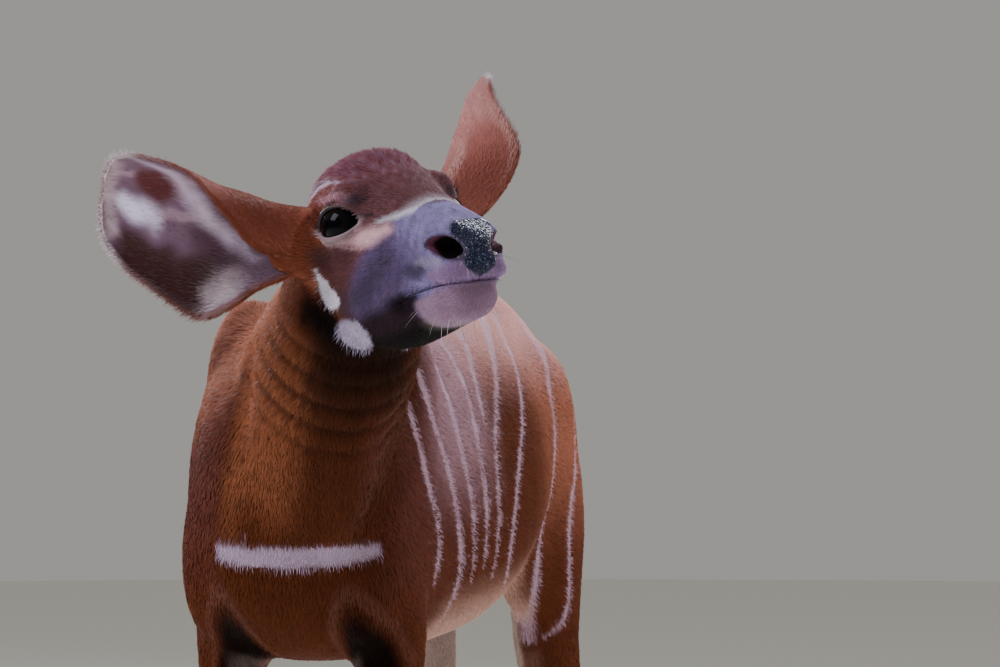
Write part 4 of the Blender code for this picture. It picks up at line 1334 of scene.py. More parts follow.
def head_colours(points, normals):
    """The markings of the face, with painted shade and painted highlights among them."""
    place = wavering(points)
    across, up = three_quarter(place)
    beside = np.abs(place[:, 0])
    colour = covered(len(points), paint(100, 64, 68))
    colour = laid(colour, smooth_step(-place[:, 1], 2, 26) * 0.85, paint(122, 62, 38))
    by_ear = smooth_step(beside, 30, 42) * smooth_step(-place[:, 1], 44, 60)
    locks = wobble(place * MM * (1.0, 1.0, 0.15), 0.009, 29) * by_ear
    colour = cheek_colours(place, colour)
    colour = laid(colour, smooth_step(locks, 0.05, 0.45) * 0.55, paint(56, 27, 18))
    colour = laid(colour, smooth_step(-locks, 0.10, 0.50) * 0.40, paint(156, 98, 72))
    colour = jaw_colours(place, colour)
    white = paint(226, 222, 236)
    chevron = stroke(across, up, [(-14, -4), (-2, -1), (12, 4), (23, 8), (34, 8), (41, 1)],
                     (0.6, 1.6, 2.4, 3.4, 3.4, 2.0))
    between = (place[:, 1] > 12) & (place[:, 1] < 66) & (place[:, 2] > -14)
    colour = laid(colour, within(chevron, 2.6) * between * 0.9, white)
    above = within(np.abs(up - 4 - np.interp(across, (-2, 12, 23, 34), (-1, 4, 8, 8))) - 2, 4)
    colour = laid(colour, above * between * smooth_step(across, 2, 14) * 0.5, paint(190, 172, 190))
    before_ears = towards_view(normals, place) * smooth_step(beside, 18, 24)
    brow = stroke(across, up, [(-68, 8), (-65, 15), (-58, 22), (-50, 26), (-41, 25)],
                  (0.6, 1.2, 1.7, 1.8, 0.6))
    colour = laid(colour, within(brow, 1.8) * before_ears * 0.8, paint(200, 186, 210))
    over_eye = within(stroke(across, up, [(-56, 12), (-44, 14), (-34, 12)], (2, 3, 2)), 3)
    colour = laid(colour, over_eye * before_ears * 0.7, paint(180, 134, 150))
    spot = patch(across, up, (-29.5, 11.5), (8, 3.4))
    colour = laid(colour, within(spot, 1.6) * before_ears * 0.8, paint(60, 50, 62))
    tear = stroke(across, up, [(-34, -1.5), (-24, 0.5), (-16, 1.5)], (1.6, 1.4, 0.8))
    colour = laid(colour, within(tear, 0.9) * (beside > 20) * 0.9, paint(46, 36, 46))
    lids = from_lids(points)
    upper = smooth_step(eye_height(points), -3, 3)
    around = within(lids - 3.4, 2.0)
    colour = laid(colour, around * upper * 0.9, paint(104, 82, 86))
    return laid(colour, around * (1 - upper) * 0.9, paint(176, 152, 156))


def cheek_spots(points, under):
    """The white drop and the white oval of each cheek, over face and neck alike."""
    place = wavering(points)
    across, up = three_quarter(place)
    beside = np.abs(place[:, 0])
    side_of_jaw = (beside > 10) & (place[:, 1] < 20) & (beyond_neck(points) > -40)
    drop = stroke(across, up, [(-60, -38), (-54, -50), (-49, -60)], (1.2, 4.4, 6.4))
    colour = laid(under, within(drop, 1.4) * side_of_jaw * (beside < 57), paint(222, 216, 234))
    long_way = 0.77 * (across + 33) - 0.64 * (up + 84.5)
    short_way = 0.64 * (across + 33) + 0.77 * (up + 84.5)
    oval = patch(long_way, short_way, (0, 0), (14.6, 9.6))
    return laid(colour, within(oval, 1.6) * side_of_jaw, paint(176, 164, 192))


def eye_height(points):
    """Height over the middle of the nearer eye, in millimetres."""
    both = [eye_plane(points, side) for side in (1, -1)]
    nearer = np.linalg.norm(both[0], axis=1) < np.linalg.norm(both[1], axis=1)
    return np.where(nearer, both[0][:, 1], both[1][:, 1])


print("the white of the face, made linear:", paint(226, 222, 236).round(3))

# %% [markdown]
# ## The colours of the trunk and the legs
# A flank stripe is a path through a few places of the trunk, thinner at its ends,
# and a little noise makes it waver. The right side gets its own small differences.
# The legs darken in front and carry pale spots over the hooves, and the belly and
# the insides of the thighs are pale.

# %% Colours of the body
# Each stripe: points along and up the trunk, in millimetres of the calf.
STRIPES = (
    ((-205, 635), (-183, 575), (-158, 533), (-150, 490)),
    ((-192, 665), (-176, 636), (-144, 594), (-122, 545), (-102, 490), (-96, 455)),
    ((-152, 685), (-130, 655), (-108, 599), (-92, 545), (-78, 490)),
    ((-100, 696), (-80, 669), (-74, 640), (-72, 600), (-66, 550), (-60, 500)),
    ((-34, 706), (-20, 685), (-46, 650), (-52, 615)),
    ((104, 704), (75, 695), (20, 665), (-16, 630), (-36, 600), (-42, 551), (-34, 490)),
    ((140, 703), (114, 690), (84, 660), (40, 620), (8, 580), (-8, 535), (-2, 501), (20, 474)),
    ((232, 700), (214, 690), (196, 660), (176, 615), (152, 567), (142, 500), (150, 455),
     (162, 426)),
    ((264, 664), (246, 604), (226, 562), (210, 540), (198, 500), (194, 452), (168, 430)),
)
STRIPE_HALF = 4.6
STRIPE_STEPS = 18
CHEST_MIDDLE = 0.0195
CRESCENT_HALF = 0.059


def flank_stripes(place, points):
    """The pale stripes of both flanks, from 0 to 1."""
    waver = wobble(points, 0.05, 5) * 1.6
    other_side = np.where(place[:, 0] > 0, 0.0, 4.0 * np.sin(place[:, 2] * 40))
    along = place[:, 1] / MM + waver + other_side
    height = place[:, 2] / MM
    breadth = 1.1 * wobble(points, 0.04, 6)
    away = np.full(len(place), 1e9)
    for stripe in STRIPES:
        rows = smooth_table(stripe, STRIPE_STEPS)
        halves = [STRIPE_HALF * min(1.0, 0.35 + min(step, STRIPE_STEPS - 1 - step) / 4)
                  for step in range(STRIPE_STEPS)]
        away = np.minimum(away, stroke(along, height, rows, halves))
    trunk = smooth_step(np.abs(place[:, 0]), 0.008, 0.014)
    return within(away + breadth, 1.9) * trunk


def body_colours(points, normals):
    """The markings of everything below the head, with painted sheen, light and shade among them."""
    place = to_calf(points)
    side, along, height = place.T
    colour = covered(len(points), paint(88, 42, 22))
    rump = smooth_step(along, 0.04, 0.20) * smooth_step(height, 0.48, 0.60)
    colour = laid(colour, rump * 0.8, paint(160, 98, 76))
    # Painted sheen: a pale pink haze along the top of the back, where light from above shines on
    # the hair.
    back = smooth_step(height, 0.62, 0.70) * smooth_step(along, -0.16, -0.10)
    colour = laid(colour, back * 0.9, paint(220, 162, 158))
    shoulder = (1 - smooth_step(along, -0.16, -0.04)) * smooth_step(height, 0.44, 0.60)
    colour = laid(colour, shoulder * 0.75, paint(94, 52, 48))
    colour = laid(colour, in_front_of_shoulders(place) * 0.95, paint(80, 38, 18))
    neck = (1 - smooth_step(along, -0.22, -0.14)) * smooth_step(height, 0.58, 0.66)
    neck = np.maximum(neck, in_front_of_shoulders(place) * smooth_step(height, 0.52, 0.60))
    facing = normals @ np.array(THROAT_SIDE)
    # Painted light and shade: the neck's side away from the throat is painted lit orange, the side
    # towards the throat darker.
    colour = laid(colour, neck * (1 - smooth_step(facing, -0.25, 0.25)) * 0.95, paint(138, 76, 46))
    colour = laid(colour, neck * smooth_step(facing, -0.30, 0.50) * 0.95, paint(74, 36, 18))
    # Painted light on the front of the chest where it faces the calf's right, towards the key
    # light.
    lit = smooth_step(-normals[:, 0], 0.05, 0.55) * in_front_of_shoulders(place)
    colour = laid(colour, lit * smooth_step(height, 0.50, 0.58) * 0.75, paint(134, 78, 52))
    # Painted sheen on the top of the neck, where it faces upwards.
    crest_sheen = smooth_step(normals[:, 2], 0.15, 0.75)
    colour = laid(colour, neck * crest_sheen * 0.5, paint(176, 120, 104))
    near_head = smooth_step(beyond_neck(points), -46, -18)
    colour = laid(colour, neck * near_head * 0.75, paint(96, 46, 24))
    # Painted shade on the underside of the throat.
    throat = smooth_step(facing, 0.40, 0.85) * smooth_step(height, 0.60, 0.67)
    colour = laid(colour, neck * throat * 0.9, paint(26, 12, 6))
    down_neck = -beyond_neck(points)
    # Painted shade in the bottom of each wrinkle of the throat.
    rings = throat_rings(points, normals)
    colour = laid(colour, neck * rings * 0.55, paint(34, 16, 9))
    # Nearly black painted shade under the jaw.
    shade_under_jaw = smooth_step(facing, 0.20, 0.60) * (1 - smooth_step(down_neck, 14, 44))
    colour = laid(colour, shade_under_jaw * 0.97, paint(8, 5, 4))
    # Painted sheen: a lilac haze over the front of the flank, behind the shoulder.
    flank = smooth_step(height, 0.52, 0.62) * (1 - smooth_step(along, -0.09, -0.01))
    flank *= smooth_step(along, -0.20, -0.12)
    colour = laid(colour, flank * 0.62, paint(188, 150, 166))
    colour = laid(colour, flank_stripes(place, points) * 0.75, paint(206, 174, 196))
    reach = np.clip((side - CHEST_MIDDLE) / 0.060, -1, 1)
    crescent = np.maximum(height - 0.525 - 0.003 * reach ** 2,
                          0.507 + 0.008 * reach ** 2 - height) / MM
    crescent = np.maximum(crescent, (np.abs(side - CHEST_MIDDLE) - CRESCENT_HALF) / MM)
    front = (along < -0.16) * 1.0
    colour = laid(colour, within(crescent + wobble(points, 0.02, 8) * 1.2, 1.4) * front,
                  paint(176, 154, 178))
    spine = smooth_step(height, 0.60, 0.66) * (along > -0.16) * within(
        np.abs(side) / MM - 4.5, 2.5) * smooth_step(normals[:, 2], 0.4, 0.8)
    fleck = smooth_step(wobble(points, 0.03, 11), 0.15, 0.45)
    colour = laid(colour, spine * 0.8, paint(44, 26, 20))
    colour = laid(colour, spine * fleck * 0.8, paint(196, 182, 176))
    return leg_colours(place, points, normals, colour)


def in_front_of_shoulders(place):
    """1 on the front of the chest between the two shoulders."""
    side, along, height = place.T
    left_edge = np.interp(height, (0.48, 0.54, 0.60, 0.66), (0.082, 0.084, 0.104, 0.14))
    right_edge = np.interp(height, (0.48, 0.54, 0.60, 0.66), (-0.038, -0.038, -0.034, -0.012))
    inside = np.minimum(left_edge - side, side - right_edge) / MM
    return smooth_step(inside, -9, 11) * (1 - smooth_step(along, -0.26, -0.20))


def leg_colours(place, points, normals, colour):
    """Dark fronts, pale insides, and the white spots over the hooves."""
    side, along, height = place.T
    leg = 1 - smooth_step(height, 0.34, 0.46)
    colour = laid(colour, leg * 0.7, paint(100, 50, 28))
    forward_face = smooth_step(-normals[:, 1], 0.1, 0.7)
    colour = laid(colour, leg * forward_face * 0.85, paint(30, 17, 12))
    fore = along < -0.06
    knee_patch = patch(np.abs(side - 0.011), height, (0.052, 0.385), (0.025, 0.090)) / MM
    front = smooth_step(-normals[:, 1], -0.1, 0.4)
    rim = within(np.abs(knee_patch - 4) - 2.0, 1.6) * fore * front * (height > 0.40)
    colour = laid(colour, rim * 0.08, paint(168, 128, 122))
    colour = laid(colour, within(knee_patch, 4) * fore * front * 0.99, paint(15, 3, 1))
    behind = smooth_step(along, -0.14, -0.09)
    inner = smooth_step(-normals[:, 0] * np.sign(side), 0.25, 0.75) * (height < 0.47)
    inner = inner * smooth_step(height, 0.10, 0.24)
    colour = laid(colour, inner * 0.8 * (0.25 + 0.75 * behind), paint(190, 166, 156))
    belly = smooth_step(-normals[:, 2], 0.25, 0.75) * smooth_step(height, 0.34, 0.42)
    belly *= (1 - smooth_step(height, 0.50, 0.55)) * behind
    colour = laid(colour, belly * 0.85, paint(172, 134, 120))
    pastern = 1 - smooth_step(height, 0.085, 0.115)
    colour = laid(colour, pastern * 0.9, paint(36, 23, 19))
    spots = within(np.abs(height - 0.078) / MM - 7 + wobble(points, 0.02, 14) * 2, 2)
    spots *= smooth_step(np.abs(normals[:, 0]), -0.1, 0.35)
    colour = laid(colour, spots * 0.95, paint(222, 212, 208))
    under_knee = within(patch(side, height, (0, 0.235), (0.2, 0.012)) / MM, 3) * fore
    return laid(colour, under_knee * forward_face * 0.7, paint(170, 150, 148))


def coat_colours(points, normals):
    """The colour of the coat anywhere on the skin."""
    face = smooth_step(beyond_neck(points), -8, 10)
    marked = laid(body_colours(points, normals), face, head_colours(points, normals))
    marked = cheek_spots(points, marked)
    mottle = 0.10 * wobble(points, 0.03, 21) + 0.08 * wobble(points, 0.007, 22)
    return np.clip(marked * (1 + mottle[:, None]), 0, 1)


print("flank stripes:", len(STRIPES), "on each side")

# %% [markdown]
# ## The skin's map and material
# The coat's colour is read from the points, and its bump from fine noise, so the
# skin needs no picture. A map of its own is laid out all the same: whoever wants to
# bake the looks later finds every patch of skin, and every hair above it, at its
# own place there. Where the skin is bare and wet, small cells replace the noise.

# %% Skin map and material
DRY_ROUGHNESS, WET_ROUGHNESS = 0.62, 0.13
HAIR_GRAIN, WET_CELLS = 900.0, 560.0
UNDERCOAT_SHADE = 0.72


def lay_map(item):
    """Lay the skin's own map out with Blender's projector."""
    item.data.uv_layers.new(name="OFBake")
    bpy.context.view_layer.objects.active = item
    item.select_set(True)
    bpy.ops.object.mode_set(mode="EDIT")
    bpy.ops.mesh.select_all(action="SELECT")
    bpy.ops.uv.smart_project(angle_limit=math.radians(66), island_margin=0.001)
    bpy.ops.object.mode_set(mode="OBJECT")
    item.select_set(False)


def skin_material(name, specular, gloss, relief):
    """Coat colour from the points; hair grain where dry, cells where wet."""
    made = coloured_material(name, DRY_ROUGHNESS, Specular_IOR_Level=specular, Coat_Weight=gloss)
    nodes, links = made.node_tree.nodes, made.node_tree.links
    shader = nodes["Principled BSDF"]
    wet = nodes.new("ShaderNodeAttribute")
    wet.attribute_name = "wet"
    rough = nodes.new("ShaderNodeMapRange")
    rough.inputs["To Min"].default_value = DRY_ROUGHNESS
    rough.inputs["To Max"].default_value = WET_ROUGHNESS
    links.new(wet.outputs["Fac"], rough.inputs["Value"])
    links.new(rough.outputs["Result"], shader.inputs["Roughness"])
    where = nodes.new("ShaderNodeTexCoord")
    grain = nodes.new("ShaderNodeTexNoise")
    grain.inputs["Scale"].default_value = HAIR_GRAIN
    grain.inputs["Detail"].default_value = 3.0
    cells = nodes.new("ShaderNodeTexVoronoi")
    cells.feature = "DISTANCE_TO_EDGE"
    cells.inputs["Scale"].default_value = WET_CELLS
    links.new(where.outputs["Object"], grain.inputs["Vector"])
    links.new(where.outputs["Object"], cells.inputs["Vector"])
    choose = nodes.new("ShaderNodeMix")
    links.new(wet.outputs["Fac"], choose.inputs["Factor"])
    links.new(grain.outputs["Fac"], choose.inputs["A"])
    links.new(cells.outputs["Distance"], choose.inputs["B"])
    bump = nodes.new("ShaderNodeBump")
    bump.inputs["Strength"].default_value = 1.0
    bump.inputs["Distance"].default_value = relief
    links.new(choose.outputs["Result"], bump.inputs["Height"])
    links.new(bump.outputs["Normal"], shader.inputs["Normal"])
    return made


def bare_colours(points, colours):
    """Paint nose pad, nostrils and lips, with a painted blue reflection on the pad and painted
    shade inside the nostrils and along the mouth; says too where the skin is wet and where hollow.
    """
    place = to_head(points)
    pad = on_nose_pad(place)
    # The pad painted bluish black: its own black with a painted blue reflection.
    colours = laid(colours, pad, paint(8, 11, 44))
    nostril = from_nostril(place)
    colours = laid(colours, within(nostril - 1.6, 1.2), paint(70, 54, 74))
    sunk = np.zeros(len(points))
    for index in np.nonzero(nostril < 9)[0]:
        sunk[index] = FACE_UNCUT.find_nearest(Vector(points[index]))[3] / MM
    hollow = smooth_step(sunk, 0.5, 1.4)
    outer_half = smooth_step(np.abs(place[:, 0]), 18, 23) * (1 - smooth_step(sunk, 3.0, 6.5))
    # Painted shade: the inside of each nostril nearly black; its outer half keeps some pink skin.
    colours = laid(colours, hollow, paint(14, 8, 12))
    colours = laid(colours, hollow * outer_half * 0.6, paint(124, 66, 96))
    lips = from_mouth(points)
    # Painted shade: a dark band along the closed lips in the mouth's crease, wider towards the back
    # where the upper lip casts a shadow, and a painted shadow at the corners.
    half_line = 1.7 + 1.1 * (1 - smooth_step(place[:, 1], 56, 88))
    colours = laid(colours, within(lips - half_line, 0.8) * 0.95, paint(22, 12, 17))
    corner = within(lips - 3.6, 1.8) * (1 - smooth_step(place[:, 1], 52, 66))
    colours = laid(colours, corner * 0.9, paint(22, 13, 18))
    wet = np.clip(pad + 0.7 * within(nostril, 1.5) + 0.5 * within(lips - 1.0, 0.6), 0, 1)
    return colours, wet * (1 - hollow), hollow


lay_map(skin)
skin_points = points_of(skin)
skin_colours = coat_colours(skin_points, normals_of(skin)) * UNDERCOAT_SHADE
skin_colours, skin_wet, skin_hollow = bare_colours(skin_points, skin_colours)
colour_points(skin, skin_colours)
skin.data.attributes.new("wet", "FLOAT", "POINT").data.foreach_set("value", skin_wet)
dress(skin, skin_material("skin_and_short_coat", 0.06, 0.0, 1.8 * MM))
wet_nose = skin_material("wet_nose", 0.34, 0.20, 2.6 * MM)
wet_nose.node_tree.nodes["Principled BSDF"].inputs["Specular Tint"].default_value = (
    0.58, 0.70, 1.0, 1)
skin.data.materials.append(wet_nose)
is_wet = np.array([skin_wet[list(polygon.vertices)].mean() > 0.5
                   for polygon in skin.data.polygons])
skin.data.polygons.foreach_set("material_index", is_wet.astype(int))
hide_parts(*FLESH, "tail")
print("map:", [layer.name for layer in skin.data.uv_layers], "wet points:", int(skin_wet.sum()))

# %% [markdown]
# ## Planting hair
# Hair is planted the way grass is: the skin's triangles are filled with roots in
# proportion to their area and to a density that differs over the body. Each tuft
# is a thin blade of three triangles, sunk a little at its root, bent once, and
# ending in a point. Many small tufts in one mesh, built from arrays, are quick to
# make and quick to draw.

# %% Roots and tufts
ROOT_DEPTH = 0.4 * MM
TURN_SPREAD = 0.16
MAP_PATCH = 0.0015
TUFTS_PER_PIECE = 62000
random = np.random.default_rng(20)


class Roots:
    """Places on a mesh where tufts stand, with what the mesh carries there."""

    def __init__(self, item, density):
        mesh = item.data
        mesh.calc_loop_triangles()
        count = len(mesh.loop_triangles)
        corners = np.empty(count * 3, dtype=np.int64)
        mesh.loop_triangles.foreach_get("vertices", corners)
        loops = np.empty(count * 3, dtype=np.int64)
        mesh.loop_triangles.foreach_get("loops", loops)
        corners, loops = corners.reshape(-1, 3), loops.reshape(-1, 3)
        points, normals = points_of(item), normals_of(item)
        a, b, c = (points[corners[:, k]] for k in range(3))
        area = np.linalg.norm(np.cross(b - a, c - a), axis=1) / 2 / MM ** 2
        wanted = area * np.mean(density[corners], axis=1) * 1.0
        number = np.floor(wanted + random.random(count)).astype(int)
        chosen = np.repeat(np.arange(count), number)
        first, second = random.random((2, len(chosen)))
        fold = first + second > 1
        first[fold], second[fold] = 1 - first[fold], 1 - second[fold]
        self.weights = np.stack([1 - first - second, first, second], axis=1)
        self.corners = corners[chosen]
        self.points = self.carried(points)
        self.normals = self.carried(normals)
        self.normals /= np.linalg.norm(self.normals, axis=1, keepdims=True)
        maps = np.empty(len(mesh.loops) * 2)
        mesh.uv_layers["OFBake"].uv.foreach_get("vector", maps)
        self.maps = np.einsum("ij,ijk->ik", self.weights, maps.reshape(-1, 2)[loops[chosen]])

    def carried(self, values):
        """Values of the mesh's points, taken at the roots."""
        spread = values[self.corners]
        if spread.ndim == 2:
            return np.sum(spread * self.weights, axis=1)
        return np.einsum("ij,ijk->ik", self.weights, spread)


def tuft_points(points, normals, lie, length, width, rise):
    """Five points for each tuft: two at the root, two in the middle and the tip."""
    count = len(points)
    flat = lie - normals * np.sum(lie * normals, axis=1)[:, None]
    flat /= np.maximum(np.linalg.norm(flat, axis=1, keepdims=True), 1e-9)
    side = np.cross(normals, flat)
    turn = random.normal(0, TURN_SPREAD, count)[:, None]
    flat, side = (flat * np.cos(turn) + side * np.sin(turn),
                  side * np.cos(turn) - flat * np.sin(turn))
    roll = random.uniform(-0.5, 0.5, count)[:, None]
    across = (side * np.cos(roll) + normals * np.sin(roll)) * (width / 2)[:, None]
    long = (length * random.uniform(0.75, 1.2, count))[:, None]
    lift = (rise * random.uniform(0.7, 1.3, count))[:, None]
    root = points - normals * ROOT_DEPTH
    middle = points + (flat * 0.45 + normals * lift) * long
    tip = points + (flat + normals * lift * 1.15) * long
    return np.stack([root - across, root + across, middle - across * 0.8,
                     middle + across * 0.8, tip], axis=1)


def tuft_mesh(name, blades, colours, maps):
    """One mesh of many tufts; colours are darker at the root and lighter at the tip."""
    count = len(blades)
    mesh = bpy.data.meshes.new(name)
    mesh.vertices.add(count * 5)
    mesh.vertices.foreach_set("co", blades.ravel())
    corner = np.array([0, 1, 3, 2, 2, 3, 4])
    corners = (np.arange(count)[:, None] * 5 + corner).ravel()
    mesh.loops.add(count * 7)
    mesh.loops.foreach_set("vertex_index", corners)
    mesh.polygons.add(count * 2)
    starts = (np.arange(count)[:, None] * 7 + np.array([0, 4])).ravel()
    mesh.polygons.foreach_set("loop_start", starts)
    mesh.update(calc_edges=True)
    layer = mesh.uv_layers.new(name="OFBake")
    corner = np.array([(-1, -1), (1, -1), (1, 0), (-1, 0), (-1, 0), (1, 0), (0, 1)]) * MAP_PATCH
    layer.uv.foreach_set("vector", (maps[:, None, :] + corner).ravel())
    item = bpy.data.objects.new(name, mesh)
    bpy.context.scene.collection.objects.link(item)
    shade = np.array([0.80, 0.80, 1.0, 1.0, 1.12])
    own = random.normal(1.0, 0.09, count)[:, None, None]
    colour_points(item, np.clip(colours[:, None, :] * shade[:, None] * own, 0, 1).reshape(-1, 3))
    return item


FUR = coloured_material("coat_hair", 0.58, Specular_IOR_Level=0.04)
PLANTED = []


def planted(name, blades, colours, maps):
    """Dress tufts as pieces of a size that stays easy to handle."""
    parts = max(1, math.ceil(len(blades) / TUFTS_PER_PIECE))
    for number, chosen in enumerate(np.array_split(np.arange(len(blades)), parts)):
        item = tuft_mesh(f"{name}_{number + 1}", blades[chosen], colours[chosen], maps[chosen])
        dress(item, FUR)
        PLANTED.append(item)


print("tufts may stand", ROOT_DEPTH / MM, "mm deep")

# %% [markdown]
# ## The lie of the coat
# Hair lies the way the body grew: back along the trunk, down the legs, from the
# nose towards the crown, and out along the ears. The directions of the regions are
# blended, so that the coat turns smoothly from one into the next. Length, width and
# the angle at which it stands go by region too: shortest and flattest on the
# muzzle, longer and looser on the chest and the crown.

# %% Lie and length
def regions(points):
    """Weights of the parts of the body, from 0 to 1."""
    place = to_calf(points)
    face = smooth_step(beyond_neck(points), -22, 16)
    front = 1 - smooth_step(place[:, 1], -0.22, -0.13)
    neck = front * smooth_step(place[:, 2], 0.57, 0.64) * (1 - face)
    chest = (1 - smooth_step(place[:, 1], -0.25, -0.17)) * (1 - neck) * (1 - face)
    leg = 1 - smooth_step(place[:, 2], 0.38, 0.48)
    ear_root = np.zeros(len(points))
    head_place = to_head(points)
    for side in (1, -1):
        middle = ear_root_middle(side)
        centre = np.array((middle.x, -middle.y, middle.z)) / MM
        away = np.linalg.norm(head_place - centre, axis=1)
        ear_root = np.where(head_place[:, 0] * side > 0, 1 - smooth_step(away, 22, 34), ear_root)
    tail = smooth_step(place[:, 1], 0.302, 0.312) * (np.abs(place[:, 0]) < 0.035)
    return {"face": face, "neck": neck, "chest": chest, "leg": leg, "ear_root": ear_root,
            "tail": tail * (place[:, 2] < 0.70)}


def lie_of(points, weights):
    """The direction in which hair lies, before it is laid on the skin."""
    turn = np.array(HEAD.to_3x3())
    place = to_head(points)
    lie = np.tile((0.0, 1.0, -0.45), (len(points), 1))
    lie = laid(lie, weights["neck"], (-0.44, 0.64, -0.64))
    lie = laid(lie, weights["chest"], (0.0, 0.25, -1.0))
    lie = laid(lie, weights["leg"], (0.0, 0.12, -1.0))
    lie = laid(lie, weights["tail"], (0.0, 0.0, -1.2))
    outward = np.sign(place[:, 0]) * smooth_step(np.abs(place[:, 0]), 4, 26)
    down = smooth_step(-place[:, 2], 20, 60) - 0.5 * smooth_step(place[:, 2], 0, 30)
    of_head = np.stack([0.35 * outward, np.ones(len(points)), -0.55 * down], axis=1) @ turn.T
    lie = laid(lie, weights["face"], of_head)
    for side in (1, -1):
        axis = turn @ np.array(ear_axes(side)[1])
        lie = laid(lie, weights["ear_root"] * (place[:, 0] * side > 0) * 0.9, axis * 1.2)
    return lie


def hair_sizes(points, weights):
    """Length, width and rise of the hair at each root."""
    place, height = to_head(points), to_calf(points)[:, 2]
    length = np.full(len(points), 7.2)
    length = laid(length, weights["neck"], 6.8)
    length = laid(length, weights["chest"], 6.8)
    length = laid(length, weights["leg"], 5.2)
    length = laid(length, weights["tail"], 16.0)
    muzzle = smooth_step(place[:, 1], 30, 66)
    crown = smooth_step(place[:, 2], 30, 48)
    head_length = 4.4 - 2.2 * muzzle + 2.4 * crown
    length = laid(length, weights["face"], head_length)
    width = laid(np.full(len(points), 0.9), weights["leg"], 0.75)
    width = laid(width, weights["face"], 0.60 - 0.14 * muzzle)
    rise = np.full(len(points), 0.11)
    rise = laid(rise, weights["neck"], 0.13)
    rise = laid(rise, weights["face"], 0.14 + 0.30 * crown)
    rise = rise * (0.8 + 0.4 * smooth_step(height, 0.1, 0.5))
    return length * MM, width * MM, rise


def hair_density(points, weights):
    """Tufts for each square millimetre; none where the skin is bare."""
    place = to_head(points)
    density = np.full(len(points), 0.42)
    density = laid(density, weights["neck"], 0.50)
    density = laid(density, weights["leg"], 0.55)
    muzzle = smooth_step(place[:, 1], 30, 66)
    density = laid(density, weights["face"], 0.95 + 0.45 * muzzle)
    near_face = weights["face"] > 0
    bare = np.zeros(len(points))
    bare[near_face] = np.max([
        on_nose_pad(place[near_face]),
        within(from_nostril(place[near_face]) - 1.2, 0.8),
        within(from_lids(points[near_face]) - 1.6, 0.8),
        within(from_mouth(points[near_face]) - 1.2, 0.6),
    ], axis=0)
    hoof = 1 - smooth_step(to_calf(points)[:, 2], 0.030, 0.036)
    return density * (1 - bare) * (1 - hoof)


skin_weights = regions(skin_points)
roots = Roots(skin, hair_density(skin_points, skin_weights) * (1 - skin_hollow))
root_weights = regions(roots.points)
root_colours = coat_colours(roots.points, roots.normals)
lengths, widths, rises = hair_sizes(roots.points, root_weights)
on_pale_mark = smooth_step(root_colours.mean(axis=1), 0.26, 0.38)
lengths *= 1 - 0.62 * on_pale_mark
widths *= 1 - 0.35 * on_pale_mark
blades = tuft_points(roots.points, roots.normals, lie_of(roots.points, root_weights),
                     lengths, widths, rises)
place = to_calf(roots.points)
in_tail = root_weights["tail"] > 0.5
in_head = (root_weights["face"] > 0.5) & ~in_tail
in_neck = (root_weights["neck"] > 0.5) & ~in_head & ~in_tail
in_legs = (place[:, 2] < 0.42) & ~in_tail
in_trunk = ~(in_tail | in_head | in_neck | in_legs)
for name, slot, chosen in (
    ("coat_head", "head_coat", in_head), ("coat_neck", "body_coat", in_neck),
    ("coat_legs", "body_coat", in_legs), ("coat_tail", "tail_coat", in_tail),
    ("coat_trunk_left", "body_coat", in_trunk & (place[:, 0] > 0)),
    ("coat_trunk_right", "body_coat", in_trunk & (place[:, 0] <= 0)),
):
    planted(name, blades[chosen], root_colours[chosen], roots.maps[chosen])
print("tufts on the skin:", len(blades), "in", len(PLANTED), "pieces")

# %% [markdown]
# ## The ears' colours and hair
# The back of an ear is covered like the head. Inside it is nearly bare: lavender
# skin with pale ridges, a dark hollow, a darker lower half and longer pale hairs at
# the margins and by the root.

# %% Ears' looks
EAR_SKIN = coloured_material("ear_skin", 0.60, Specular_IOR_Level=0.1, Subsurface_Weight=0.15,
                             Subsurface_Radius=(0.004, 0.0015, 0.001))


